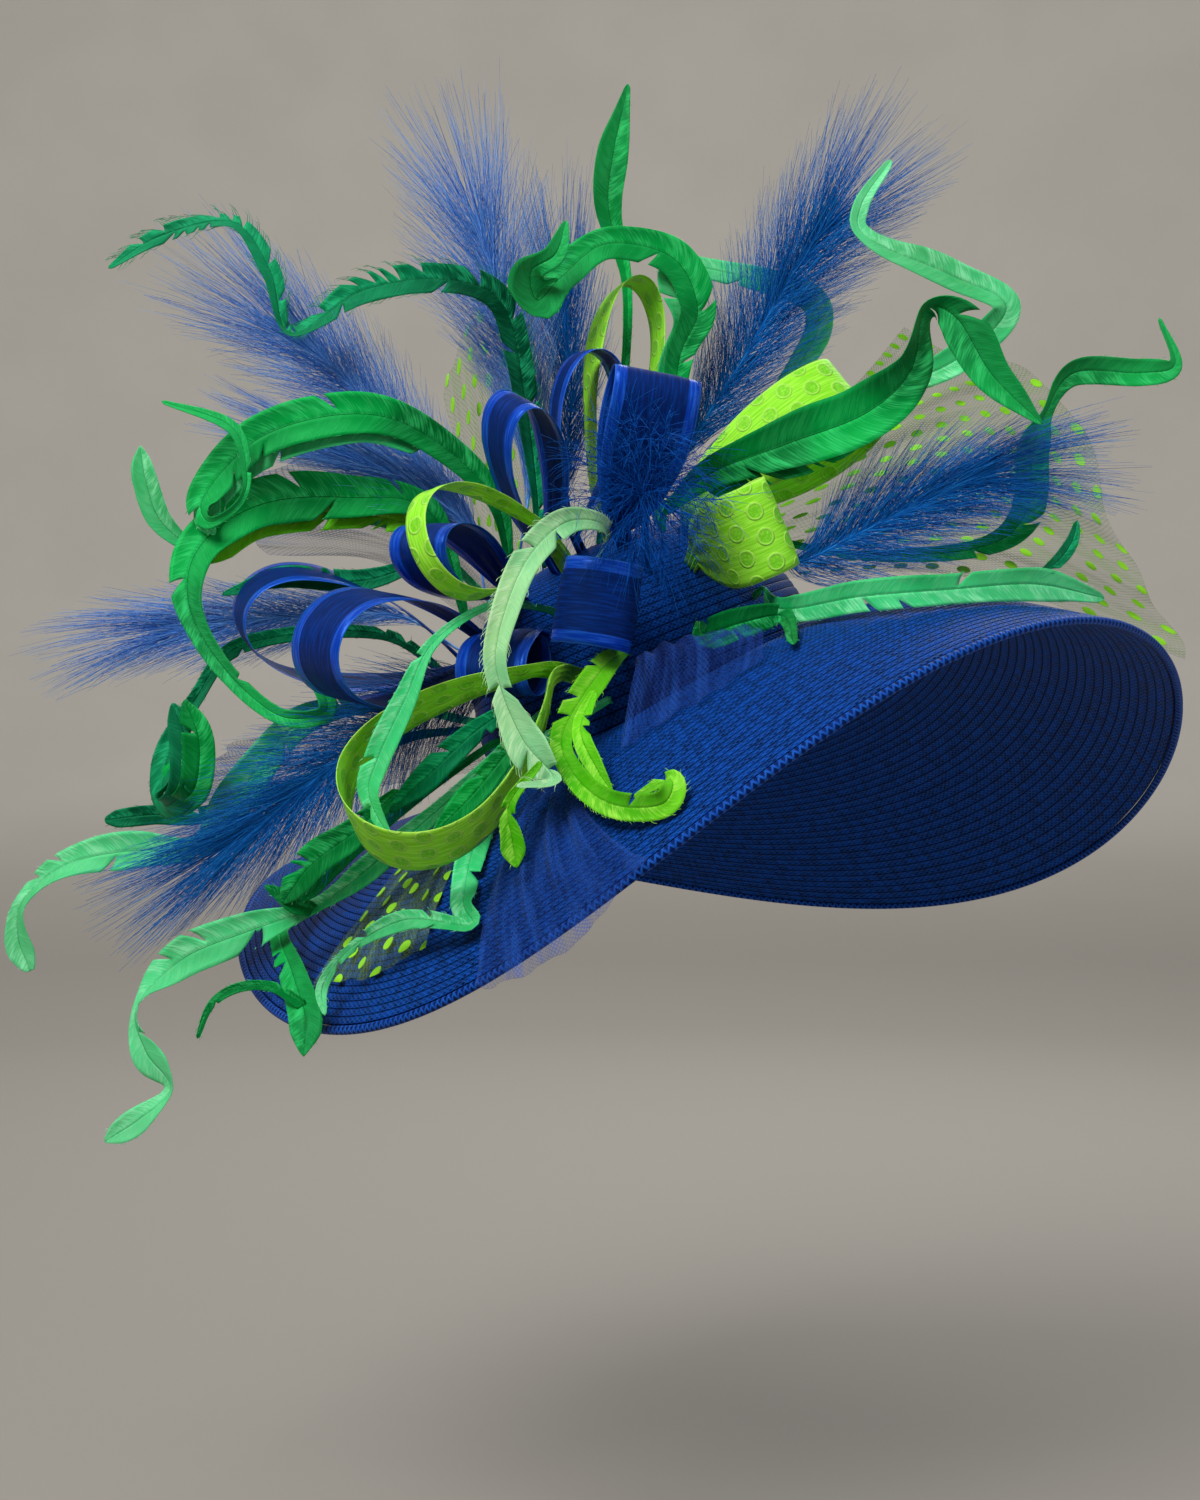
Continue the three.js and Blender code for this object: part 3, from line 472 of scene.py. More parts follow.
def feather_finish(name, deep, main, pale, rib):
    """A dyed vane: patchy colour, paler to the tip and along its barbs, with a dark midrib."""
    made = Finish(name, 0.42, Specular_IOR_Level=0.4, Specular_Tint=tint(pale), Subsurface_Weight=0.1,
                  Subsurface_Scale=0.002)
    w = made.w
    marks = made.spread(BARB_STREAKS, Fit=made.fit(), Barbs=800.0)
    place = w.add("TexCoord", output="Object")
    patch = w.noise(place, 16.0, 2.0)
    body = w.mix(w.ramp(patch, 0.38, 0.64), tint(main), tint(deep))
    body = w.mix(w.times(marks["Half"], 0.4), body, tint(deep))
    along, _, _ = w.split(made.fit())
    body = w.mix(w.ramp(along, 0.12, 0.46, 0.0, 0.34), body, tint(pale))
    streaks = w.sum(0.16, w.times(w.math("SUBTRACT", 1.0, marks["Half"]), 0.42))
    body = w.mix(w.times(marks["Streak"], streaks), body, tint(pale))
    body = w.mix(w.times(marks["Midrib"], 0.85), body, tint(rib))
    made.feed("Base Color", body)
    made.feed("Roughness", w.ramp(marks["Streak"], 0.0, 1.0, 0.4, 0.55))
    made.relief(marks["Height"], 0.0004, 0.6)
    return made.material


def barb_finish(name, root, middle, tip):
    """Fine barbs, paler to their tips, each with its own tone."""
    made = Finish(name, 0.6, Specular_Tint=tint(tip))
    w = made.w
    reach = w.add("Attribute", output="Fac", attribute_name="reach")
    tone = w.add("Attribute", output="Fac", attribute_name="tone")
    body = w.mix(w.ramp(reach, 0.0, 0.5), tint(root), tint(middle))
    body = w.mix(w.ramp(reach, 0.45, 1.0), body, tint(tip))
    body = w.mix(w.times(tone, 0.35), body, tint(tip))
    made.feed("Base Color", body)
    made.feed("Roughness", w.ramp(tone, 0.0, 1.0, 0.6, 0.75))
    return made.material


def straw_finish(name, deep, main, pale):
    """Plaited straw, with painted shade in the grooves between rows."""
    made = Finish(name, 0.55, Specular_IOR_Level=0.3, Specular_Tint=tint(pale))
    w = made.w
    marks = made.spread(STRAW_BRAID, Fit=made.fit(), Plaits=330.0)
    body = w.mix(w.ramp(marks["Tone"], 0.3, 0.7), tint(deep), tint(main))
    body = w.mix(w.times(marks["Plait"], 0.35), body, tint(pale))
    # painted shade: the grooves between rows of braid darkened towards the deep blue
    body = w.mix(w.ramp(marks["Seam"], 0.0, 0.7, 0.92, 0.0), body, tint(deep))
    made.feed("Base Color", body)
    made.feed("Roughness", w.ramp(marks["Tone"], 0.2, 0.8, 0.42, 0.62))
    made.relief(marks["Height"], 0.001, 0.9)
    return made.material


STRAW = straw_finish("blue_straw_braid", "000c38", "053a94", "2468ce")
FEATHER_FINISHES = {
    "green": feather_finish("green_feather", "03642a", "04a244", "40e080", "023f14"),
    "mint": feather_finish("mint_feather", "12a656", "40d684", "a0fac4", "0a6f38"),
    "dark": feather_finish("dark_green_feather", "023e28", "047046", "2cc886", "012c1a"),
    "pale": feather_finish("pale_feather", "66bc80", "a0dc98", "dcfacc", "2f8a48"),
    "lime": feather_finish("lime_feather", "3ca60a", "6cd81c", "b8fa60", "1d6a0c"),
}
DOWN_FINISHES = {
    "green": barb_finish("green_down", "067a32", "16a850", "6fe79a"),
    "mint": barb_finish("mint_down", "22ac66", "4ed28c", "a6f4c4"),
    "dark": barb_finish("dark_down", "033a26", "08704a", "2fae80"),
    "pale": barb_finish("pale_down", "7cc088", "aedda4", "dcf6cc"),
    "lime": barb_finish("lime_down", "3fa010", "74d22a", "c0f478"),
}
PALE_PLUME = barb_finish("pale_blue_plume_barbs", "08409c", "3478d4", "7cb0f0")
DEEP_PLUME = barb_finish("deep_blue_plume_barbs", "01286a", "0454ac", "2886d8")
PUFF_FINISH = barb_finish("dark_blue_plume_barbs", "000f40", "00348a", "1262c4")

# Feathers: seat on the crown as angle around and rise, then rows of right, up, back, width and face
# angle in mm and degrees. splits is how often a vane parts, hair how fringed it is, comb how long the
# loose barbs of one edge are, layers the vanes under it (colour, shift, width share, first and last
# row), and branch the rows of a side twig.
PLAIN_VANE = dict(cup=0.25, hair=0.55)
FEATHERS = {
    "feather_left_hackle": dict(
        colour="dark", seat=(224, 80), cup=0.3, splits=40, hair=2.6, comb=0.009, rows=[
        (-72, 127, -24, 8, 20), (-79, 184, -28, 14, 10), (-92, 238, -36, 15, 0),
        (-127, 252, -48, 17, 10), (-172, 245, -52, 16, 0), (-211, 221, -56, 7, 40),
        (-223, 257, -60, 11, 10), (-244, 284, -62, 8, 20), (-285, 276, -62, 9, 0),
        (-314, 258, -60, 2, 0)]),
    "feather_left_arch": dict(colour="green", seat=(222, 68), splits=8, layers=[
        ("mint", (3, -7, 4), 0.8, 1, 6)], rows=[
        (-97, 129, -56, 12, 10), (-138, 166, -66, 19, 0), (-178, 176, -74, 24, 0),
        (-228, 163, -72, 23, 0), (-260, 130, -70, 16, 10), (-257, 115, -76, 6, 30),
        (-240, 126, -86, 4, 30), (-236, 143, -90, 5, 10), (-245, 169, -90, 7, 0),
        (-284, 183, -88, 2, 0)]),
    "feather_left_sweep": dict(colour="green", seat=(198, 52), splits=7, layers=[
        ("lime", (2, -9, 4), 0.7, 0, 4)], rows=[
        (-132, 120, -42, 14, 0), (-180, 129, -50, 26, 0), (-228, 125, -58, 27, 0),
        (-262, 102, -66, 22, 10), (-269, 70, -72, 14, 0), (-250, 34, -80, 10, 0),
        (-218, 6, -86, 9, 10), (-191, 9, -92, 11, 40), (-199, 30, -98, 4, 0)]),
    "feather_left_tip": dict(colour="mint", seat=(190, 66), cup=0.3, splits=8, rows=[
        (-150, 112, -12, 6, 0), (-228, 120, -30, 7, 0), (-262, 102, -40, 7, 0),
        (-284, 115, -48, 13, 0), (-293, 139, -50, 13, 0), (-296, 158, -50, 2, 0)]),
    "feather_far_left_fold": dict(colour="dark", seat=(186, 34), splits=5, layers=[
        ("green", (7, 2, -3), 1.0, 3, 8)], rows=[
        (-160, 52, -16, 7, 0), (-237, 46, -34, 9, 0), (-265, 15, -46, 9, 0),
        (-281, -19, -56, 17, 20), (-283, -44, -66, 17, 60), (-272, -36, -78, 17, 20),
        (-270, -10, -82, 16, 0), (-278, 13, -84, 3, 0)]),
    "feather_left_strip": dict(colour="dark", seat=(184, 20), cup=0.15, splits=3, rows=[
        (-150, -8, 4, 6, 0), (-210, -34, 6, 8, 0), (-262, -50, -4, 10, 0),
        (-290, -50, -6, 11, 0), (-316, -53, -8, 9, 0)]),
    "feather_low_left": dict(colour="mint", seat=(204, 20), splits=10, rows=[
        (-160, 12, -48, 8, 0), (-206, 2, -58, 18, 0), (-239, -36, -62, 21, 0),
        (-262, -68, -66, 14, 20), (-301, -70, -70, 21, 0), (-338, -78, -72, 14, 20),
        (-362, -98, -74, 9, 30), (-365, -118, -74, 15, 10), (-358, -138, -74, 13, 0)]),
    "feather_long_twist": dict(colour="mint", seat=(236, 14), splits=14, rows=[
        (-120, -40, -112, 8, 0), (-161, -75, -112, 14, 0), (-196, -101, -106, 8, 20),
        (-234, -115, -98, 22, 0), (-272, -131, -92, 20, 10), (-298, -158, -88, 7, 60),
        (-293, -183, -86, 18, 10), (-279, -204, -84, 8, 50), (-296, -221, -80, 15, 10),
        (-316, -234, -76, 5, 0)]),
    "feather_rim_drop": dict(colour="green", seat=(213, 12), cup=0.2, splits=2, rows=[
        (-150, -48, -58, 6, 0), (-194, -88, -52, 7, 0), (-217, -112, -78, 10, 0),
        (-210, -140, -118, 15, 0), (-203, -164, -142, 17, 0), (-204, -186, -150, 2, 0)],
        branch=[(-203, -158, -137, 6, 0), (-221, -147, -140, 5, 0), (-240, -147, -142, 5, 0),
                (-256, -157, -144, 4, 0), (-264, -176, -146, 2, 0)]),
    "feather_front_thin": dict(colour="mint", seat=(256, 10), splits=12, rows=[
        (-84, -20, -108, 8, 0), (-106, -62, -140, 14, 0), (-114, -98, -172, 12, 10),
        (-110, -112, -190, 7, 40), (-146, -109, -172, 10, 10), (-177, -125, -150, 5, 10),
        (-193, -146, -144, 6, 0), (-192, -163, -152, 2, 0)]),
    "feather_front_hook": dict(colour="mint", seat=(248, 42), splits=6, rows=[
        (-98, 68, -140, 4, 0), (-131, 47, -162, 6, 0), (-147, 15, -168, 13, 0),
        (-163, -20, -168, 13, 0), (-167, -40, -168, 9, 10), (-153, -68, -166, 2, 0)]),
    "feather_pale": dict(
        colour="pale", seat=(264, 50), cup=0.35, splits=14, hair=1.2, comb=0.006, rows=[
        (-33, 111, -138, 8, 10), (-56, 115, -160, 14, 0), (-80, 91, -178, 15, 0),
        (-95, 48, -184, 12, 0), (-93, 22, -184, 12, 10), (-80, -8, -184, 20, 0),
        (-63, -30, -190, 7, 40), (-84, -34, -200, 3, 40)]),
    "feather_lime_curl": dict(
        colour="lime", seat=(266, 20), cup=0.3, splits=9, hair=0.9, comb=0.004, rows=[
        (-36, 32, -132, 14, 0), (-58, -4, -158, 11, 0), (-51, -28, -184, 12, 0),
        (-30, -44, -210, 13, 0), (-2, -44, -226, 13, 0), (3, -30, -224, 8, 20),
        (-18, -40, -212, 2, 30)]),
    "feather_top_spike": dict(colour="green", seat=(80, 78), cup=0.3, splits=2, rows=[
        (-24, 190, 22, 5, 0), (-22, 250, 16, 6, 0), (-32, 290, 10, 16, 0),
        (-30, 320, 6, 17, 0), (-21, 362, 2, 2, 0)]),
    "feather_top_arch": dict(colour="green", seat=(292, 78), splits=8, layers=[
        ("mint", (-6, -6, 4), 0.8, 0, 4)], rows=[
        (0, 160, -24, 7, 0), (8, 208, -26, 17, 0), (18, 235, -28, 20, 0),
        (4, 264, -30, 20, 0), (-33, 272, -34, 18, 0), (-58, 254, -38, 22, 10),
        (-72, 240, -46, 30, 20), (-76, 256, -54, 14, 30), (-62, 266, -60, 11, 10),
        (-56, 285, -60, 2, 0)]),
    "feather_mint": dict(colour="mint", seat=(12, 78), cup=0.15, splits=4, rows=[
        (42, 160, 16, 6, 0), (70, 196, 16, 12, 0), (86, 226, 14, 17, 10),
        (74, 245, 10, 16, 10), (10, 261, 4, 10, 0)]),
    "feather_right_fold": dict(colour="green", seat=(304, 62), splits=5, hair=0.2, layers=[
        ("green", (0, -8, 4), 0.8, 0, 3)], rows=[
        (23, 141, -64, 18, 0), (65, 158, -72, 30, 0), (112, 176, -78, 29, 0),
        (138, 200, -82, 20, 20), (146, 234, -86, 14, 60), (164, 230, -94, 24, 20),
        (184, 198, -96, 18, 0), (212, 170, -92, 2, 0)]),
    "feather_right_ring": dict(colour="mint", seat=(342, 66), cup=0.2, splits=7, rows=[
        (74, 158, -6, 7, 0), (118, 186, -18, 11, 0), (163, 206, -34, 17, 0),
        (192, 236, -44, 15, 10), (161, 254, -42, 17, 0), (114, 275, -40, 10, 20),
        (110, 293, -40, 9, 0), (127, 319, -40, 4, 0)]),
    "feather_right_tall": dict(colour="green", seat=(346, 36), cup=0.2, splits=7, rows=[
        (110, 96, -24, 6, 0), (175, 100, -24, 11, 0), (202, 118, -24, 19, 0),
        (207, 155, -26, 17, 0), (214, 176, -28, 9, 40), (230, 199, -30, 15, 20),
        (268, 199, -30, 14, 0), (287, 204, -30, 7, 20), (278, 230, -30, 2, 0)]),
    "feather_brim_right": dict(colour="mint", seat=(314, 22), cup=0.15, splits=6, rows=[
        (66, 66, -120, 13, 0), (110, 73, -152, 16, 0), (160, 77, -154, 16, 0),
        (208, 80, -134, 16, 0), (247, 72, -114, 4, 0)]),
    "feather_under_veil": dict(colour="green", seat=(289, 20), cup=0.2, splits=3, rows=[
        (22, 52, -102, 16, 0), (42, 58, -120, 15, 0), (66, 62, -136, 9, 10),
        (72, 46, -168, 5, 0)]),
}
# Leaflets: small side leaves that start on a larger feather or beside its seat
LEAFLETS = {
    "leaflet_lime_tip": dict(colour="lime", cup=0.3, splits=2, rows=[
        (-70, -20, -192, 3, 0), (-88, -44, -194, 7, 0), (-86, -66, -194, 12, 0),
        (-84, -80, -194, 2, 0)]),
    "leaflet_low_left": dict(colour="green", cup=0.3, splits=2, rows=[
        (-196, -104, -104, 5, 0), (-206, -101, -110, 10, 0), (-226, -90, -112, 2, 0)]),
    "leaflet_front": dict(colour="lime", cup=0.3, splits=2, rows=[
        (-40, 20, -160, 4, 0), (-48, -2, -176, 9, 10), (-40, -22, -186, 8, 10),
        (-30, -38, -192, 2, 0)]),
    "leaflet_right_spike": dict(colour="dark", cup=0.2, splits=1, rows=[
        (206, 82, -134, 3, 0), (220, 92, -128, 7, 0), (229, 104, -122, 6, 0),
        (232, 116, -118, 2, 0)]),
    "leaflet_behind_loops": dict(colour="dark", splits=4, rows=[
        (-130, 96, -70, 6, 0), (-170, 82, -74, 12, 0), (-214, 84, -78, 11, 0),
        (-250, 74, -80, 2, 0)]),
    "leaflet_inner_dark": dict(colour="dark", splits=3, rows=[
        (-84, 12, -138, 6, 0), (-106, -2, -146, 12, 0), (-130, -24, -150, 14, 0),
        (-156, -49, -148, 2, 0)]),
    "leaflet_inner_green": dict(colour="green", splits=3, rows=[
        (-78, 0, -146, 6, 0), (-92, -18, -152, 12, 0), (-110, -40, -154, 13, 0),
        (-132, -62, -152, 2, 0)]),
    "leaflet_low_green": dict(colour="green", splits=5, rows=[
        (-150, -36, -130, 6, 0), (-176, -60, -128, 16, 0), (-200, -78, -122, 17, 10),
        (-216, -100, -112, 5, 0)]),
}
SEAT_WIDTH = 4
SEAT_LIFT = 0.009
FEATHER_STEP = 0.002
BARB_SWEEP = 0.8
ACROSS = np.array([-1, -0.8, -0.6, -0.4, -0.2, -0.05, 0, 0.05, 0.2, 0.4, 0.6, 0.8, 1])
VANE_THICKNESS = 0.0004
TIP_LENGTH = 2.2
TIP_ROUNDNESS = 0.55
EDGE_SWELL = (0.92, 1.05)
SPLITS_CUT = 0.75
SPLIT_SIDES = (-1, -1, 1)
SPLIT_STARTS = (0.05, 0.2, 0.2, 0.4)
SPLIT_GAP = (0.0006, 0.0026)
SPLIT_REACH = 5
RIB_HEIGHT = 0.0004
RIPPLE_HEIGHT = 0.0004
FRINGE_LENGTH = 0.003
FRINGE_RADII = [0.00016, 0.00014, 0.0001, 0.00005]


def vane(name, rows, root, form, seed, shift=(0, 0, 0), slim=1.0):
    """One vane on its curve, its barbs swept to the tip and parted here and there. Returns the mesh
    and the fine barbs that stand out from its edges."""
    form = {**PLAIN_VANE, **form}
    draw = random.Random(seed)
    points = list(root) + [placed(*(a + b for a, b in zip(row[:3], shift))) for row in rows]
    first = (SEAT_WIDTH, rows[0][4])
    values = [first] * len(root) + [(row[3] * slim, row[4]) for row in rows]
    route = Route(points, values, FEATHER_STEP, rooted=bool(root))
    sides = across_sight(route.tangent, route.values[:, 1])
    normals = np.cross(sides, route.tangent)
    steps = len(route.at) - 1
    half = np.maximum(route.values[:, 0], 1.2) / 2 * MM
    taper = np.clip((route.length - route.at) / np.maximum(TIP_LENGTH * half, 1e-6), 0.02, 1)
    half = half * taper ** TIP_ROUNDNESS
    knots = steps // 14 + 4
    trim = []
    for _ in range(2):
        bumps = [draw.uniform(*EDGE_SWELL) for _ in range(knots)]
        trim.append(smooth(np.array(bumps)[:, None], steps + 1)[:, 0])
    parts = []
    for _ in range(round(form["splits"] * SPLITS_CUT)):
        parts.append((draw.randint(4, steps - 9), draw.choice(SPLIT_SIDES),
                      draw.choice(SPLIT_STARTS), draw.uniform(*SPLIT_GAP)))

    def barb(u, v):
        """The point of the vane at a share along and across, with the barb's own sweep."""
        i = np.clip(np.rint(u * steps).astype(int), 0, steps)
        out = np.interp(v, np.linspace(0, 1, len(ACROSS)), ACROSS)
        reach = half[i] * np.where(out < 0, trim[0][i], trim[1][i])
        at = route.at[i] + BARB_SWEEP * np.abs(out) ** 1.3 * reach
        lift = np.zeros_like(at)
        for row, hand, start, gap in parts:
            past = (np.abs(out) > start - 0.01) * (np.sign(out) == hand)
            far = np.clip((np.abs(out) - start) / (1 - start), 0, 1) * past
            near = np.exp(-np.abs(i - row - 0.5) / SPLIT_REACH)
            close = past * (1 - far) * ((i == row) | (i == row + 1)) * FEATHER_STEP * 0.48
            at = at + np.where(i > row, 1, -1) * (gap * far * near - close)
            lift = lift + np.where(i > row, 1, -0.4) * far * near * gap * 0.5
        at = np.minimum(at, route.length - (steps - i) * 1e-5)
        place = route.read(route.place, at)
        side = unit(route.read(sides, at))
        normal = unit(route.read(normals, at))
        cup = -form["cup"] * reach * out ** 2
        broad = np.minimum(reach / 0.006, 1)
        ripple = RIPPLE_HEIGHT * np.sin(at * 190 + out * 3) * out ** 2 * broad
        rib = np.where(np.abs(out) < 0.01, RIB_HEIGHT, 0.0)
        return place + side * (out * reach)[:, None] + normal * (cup + ripple + lift + rib)[:, None]

    def shape(u, v):
        i = np.clip(np.rint(u * steps).astype(int), 0, steps)
        return barb(u, v), np.stack([route.at[i], v], axis=1)

    cuts = {}
    for row, hand, start, _ in parts:
        cuts.setdefault((row, hand), []).append(start)

    def gone(u, v):
        out = np.interp(v, np.linspace(0, 1, len(ACROSS)), ACROSS)
        starts = cuts.get((int(u * steps), 1 if out > 0 else -1))
        return bool(starts) and abs(out) > min(starts)

    mesh = grid_sheet(name, steps, len(ACROSS) - 1, shape, gone)
    fringe = []
    for _ in range(round(steps * form["hair"])):
        u, edge = draw.uniform(0.04, 0.98), draw.choice((0.0, 1.0))
        if form.get("comb") and edge and draw.random() < 0.7:
            edge = 0.0
        start, inner = barb(np.array([u, u]), np.array([abs(edge - 0.02), abs(edge - 0.2)]))
        out = (start - inner) / max(np.linalg.norm(start - inner), 1e-6)
        ahead = route.read(route.tangent, u * route.length)
        reach = draw.uniform(0.35, 1.0) * form.get("comb", FRINGE_LENGTH)
        bend = np.array([draw.uniform(-1, 1) for _ in range(3)]) * reach * 0.12
        way = unit(out * 0.8 + ahead * 0.5)
        fringe.append(np.array([start, start + way * reach * 0.35, start + way * reach * 0.7,
                                start + unit(way + ahead * 0.4) * reach + bend]))
    return mesh, fringe


def join_meshes(name, first, second):
    """Two vanes as one mesh."""
    whole = bmesh.new()
    whole.from_mesh(first)
    whole.from_mesh(second)
    mesh = bpy.data.meshes.new(name)
    whole.to_mesh(mesh)
    whole.free()
    return mesh


# Where each group of feathers starts its random draws
FEATHER_SEED, TWIG_SEED, LAYER_SEED, LEAFLET_SEED, PLUME_SEED = 100, 300, 500, 700, 500
fringes = {colour: [] for colour in FEATHER_FINISHES}


def add_vane(name, mesh, fringe, colour, nodes=()):
    """Places a vane, and keeps its loose barbs for the one fringe of that colour."""
    piece = finished(name, mesh, FEATHER_FINISHES[colour], nodes)
    thicken(piece, VANE_THICKNESS)
    fringes[colour] += fringe


for number, (name, form) in enumerate(FEATHERS.items()):
    point, normal = crown_seat(*form["seat"])
    root = [point + normal * GAP, point + normal * SEAT_LIFT]
    mesh, fringe = vane(name + "_vane", form["rows"], root, form, FEATHER_SEED + number)
    if "branch" in form:
        twig, more = vane(name + "_twig", form["branch"], [], form, TWIG_SEED + number)
        mesh, fringe = join_meshes(name + "_vane", mesh, twig), fringe + more
    add_vane(name + "_vane", mesh, fringe, form["colour"], [name])
    for layer, (colour, shift, slim, first, last) in enumerate(form.get("layers", ())):
        mesh, fringe = vane(f"{name}_layer_{layer}", form["rows"][first:last], [], form,
                            LAYER_SEED + 10 * number + layer, shift, slim)
        add_vane(f"{name}_layer_{layer}", mesh, fringe, colour)
for number, (name, form) in enumerate(LEAFLETS.items()):
    mesh, fringe = vane(name, form["rows"], [], form, LEAFLET_SEED + number)
    add_vane(name, mesh, fringe, form["colour"])
for colour, paths in fringes.items():
    radii = [FRINGE_RADII] * len(paths)
    strands("feather_fringe_" + colour, paths, radii, DOWN_FINISHES[colour])

# Plumes: seat on the crown, then rows of right, up, back and width over the barbs. start is the
# share of the length where the first barbs stand.
PLUMES = {
    "plume_left": dict(finish=PALE_PLUME, seat=(192, 74), barbs=1000, rows=[
        (-104, 104, -22, 6), (-134, 142, -28, 44), (-177, 192, -30, 66), (-225, 232, -30, 76),
        (-274, 266, -30, 16)]),
    "plume_top_left": dict(finish=PALE_PLUME, seat=(180, 79), barbs=1000, rows=[
        (-76, 150, -8, 6), (-88, 216, -12, 60), (-102, 272, -14, 96), (-118, 320, -14, 84),
        (-132, 356, -14, 12)]),
    "plume_top_right": dict(finish=DEEP_PLUME, seat=(340, 79), barbs=1300, rows=[
        (14, 160, -4, 8), (45, 209, -6, 60), (73, 257, -8, 80), (104, 300, -8, 84),
        (140, 342, -8, 14)]),
    "plume_right": dict(finish=DEEP_PLUME, seat=(328, 38), barbs=1100, rows=[
        (72, 92, -58, 12), (104, 106, -60, 56), (140, 124, -60, 74), (182, 142, -58, 64),
        (236, 146, -56, 12)]),
    "plume_far_left": dict(finish=PALE_PLUME, seat=(178, 46), barbs=800, rows=[
        (-150, 62, -6, 8), (-200, 62, -8, 34), (-250, 58, -8, 56), (-300, 52, -8, 52),
        (-342, 40, -8, 10)]),
    "plume_low_left": dict(finish=DEEP_PLUME, seat=(218, 28), barbs=1500, start=0.02, rows=[
        (-140, 8, -84, 62), (-176, -14, -84, 84), (-220, -48, -82, 84), (-262, -78, -80, 60),
        (-306, -106, -78, 10)]),
    "plume_left_low": dict(finish=PALE_PLUME, seat=(210, 60), barbs=700, rows=[
        (-112, 112, -34, 10), (-150, 140, -40, 46), (-200, 160, -42, 36), (-230, 170, -42, 8)]),
    "plume_back": dict(finish=DEEP_PLUME, seat=(120, 66), barbs=700, rows=[
        (-54, 172, 26, 30), (-56, 220, 26, 60), (-60, 262, 26, 54), (-62, 300, 26, 8)]),
}
BARB_POINTS = 5
BARB_RADIUS = 0.00018
SHAFT_RADIUS = 0.0008
SHAFT_SHARE = 0.72
BARB_REACH = 0.092
PLUME_STEP = 0.004
BARB_DENSITY = 1.25
BARB_START = 0.14
BARB_DEPTH = 0.4
BARB_SPREAD = 0.74
BARB_SWAY = 0.022
LOCK_BARBS = 7
LOCK_PULL = 0.42
LOCK_WIDTH = 0.05


def plume(name, form, seed):
    """A shaft with long fine barbs, swept to the tip and fanned past it, that fill the outline the
    rows give."""
    draw = np.random.default_rng(seed)
    point, normal = crown_seat(*form["seat"])
    root = [point + normal * GAP, point + normal * SEAT_LIFT]
    rows = form["rows"]
    points = root + [placed(*row[:3]) for row in rows]
    widths = [row[3] for row in rows[:-1]] + [max(rows[-1][3], rows[-2][3])]
    values = [(SEAT_WIDTH,)] * 2 + [(width,) for width in widths]
    route = Route(points, values, PLUME_STEP, rooted=True)
    sides = across_sight(route.tangent, np.zeros(len(route.at)))
    normals = np.cross(sides, route.tangent)
    shaft_end = route.length * SHAFT_SHARE
    paths = [route.read(route.place, np.linspace(0, shaft_end, 40))]
    radii = [np.linspace(SHAFT_RADIUS, SHAFT_RADIUS * 0.3, 40)]
    t = np.linspace(0, 1, BARB_POINTS)[:, None]
    start_at = route.length * form.get("start", BARB_START)
    lock_tips = [None, None]
    count = round(form["barbs"] * BARB_DENSITY)
    for k in range(count):
        share = ((k + draw.random()) / count) ** 0.8
        at = start_at + (shaft_end - start_at) * share
        hand = -1 if k % 2 else 1
        reach = BARB_REACH * (0.6 + 0.4 * share) * (0.55 + 0.5 * draw.random() ** 0.7)
        width = route.read(route.values, at + reach * 0.75)[0] * MM / 2
        filled = draw.random() ** (0.55 + 0.45 * share)
        off = min(width * (0.25 * (1 - share) + 0.98 * filled), reach * BARB_SPREAD)
        end = at + math.sqrt(reach ** 2 - off ** 2)
        over = max(0.0, end - route.length)
        depth = width * BARB_DEPTH * draw.normal()
        start = route.read(route.place, at)
        tangent = route.read(route.tangent, at)
        tip = route.read(route.place, end) + route.read(route.tangent, end) * over
        tip = tip + route.read(sides, end) * hand * off + route.read(normals, end) * depth
        if k % (2 * LOCK_BARBS) < 2:
            lock_tips[k % 2] = tip
        pulled = LOCK_PULL * (1 - min(np.linalg.norm(tip - lock_tips[k % 2]) / LOCK_WIDTH, 1))
        tip = tip + (lock_tips[k % 2] - tip) * pulled
        lead = start + tangent * reach * 0.36 + route.read(sides, at) * hand * off * 0.5
        path = start * (1 - t) ** 2 + 2 * lead * t * (1 - t) + tip * t ** 2
        sway = np.sin(t * math.pi * (1 + 1.2 * draw.random())) * reach * BARB_SWAY * draw.normal()
        paths.append(path + route.read(sides, at) * sway)
        radii.append(BARB_RADIUS * np.linspace(1.0, 0.3, BARB_POINTS) * (0.65 + 0.5 * draw.random()))
    strands(name + "_barbs", paths, radii, form["finish"], [name])


for number, (name, form) in enumerate(PLUMES.items()):
    plume(name, form, PLUME_SEED + number)

# Centre plume: tufts standing out all round a short core
PUFF_SEAT = (284, 46)
PUFF_MIDDLE = (-12, 136, -128)
PUFF_TUFTS = 30
PUFF_BARBS = 40
PUFF_REACH = 0.062
PUFF_CORE_RADIUS = 0.0022
PUFF_STEM_RADIUS = 0.0004
PUFF_BARB_RADIUS = 0.00017
PUFF_SEED = 71


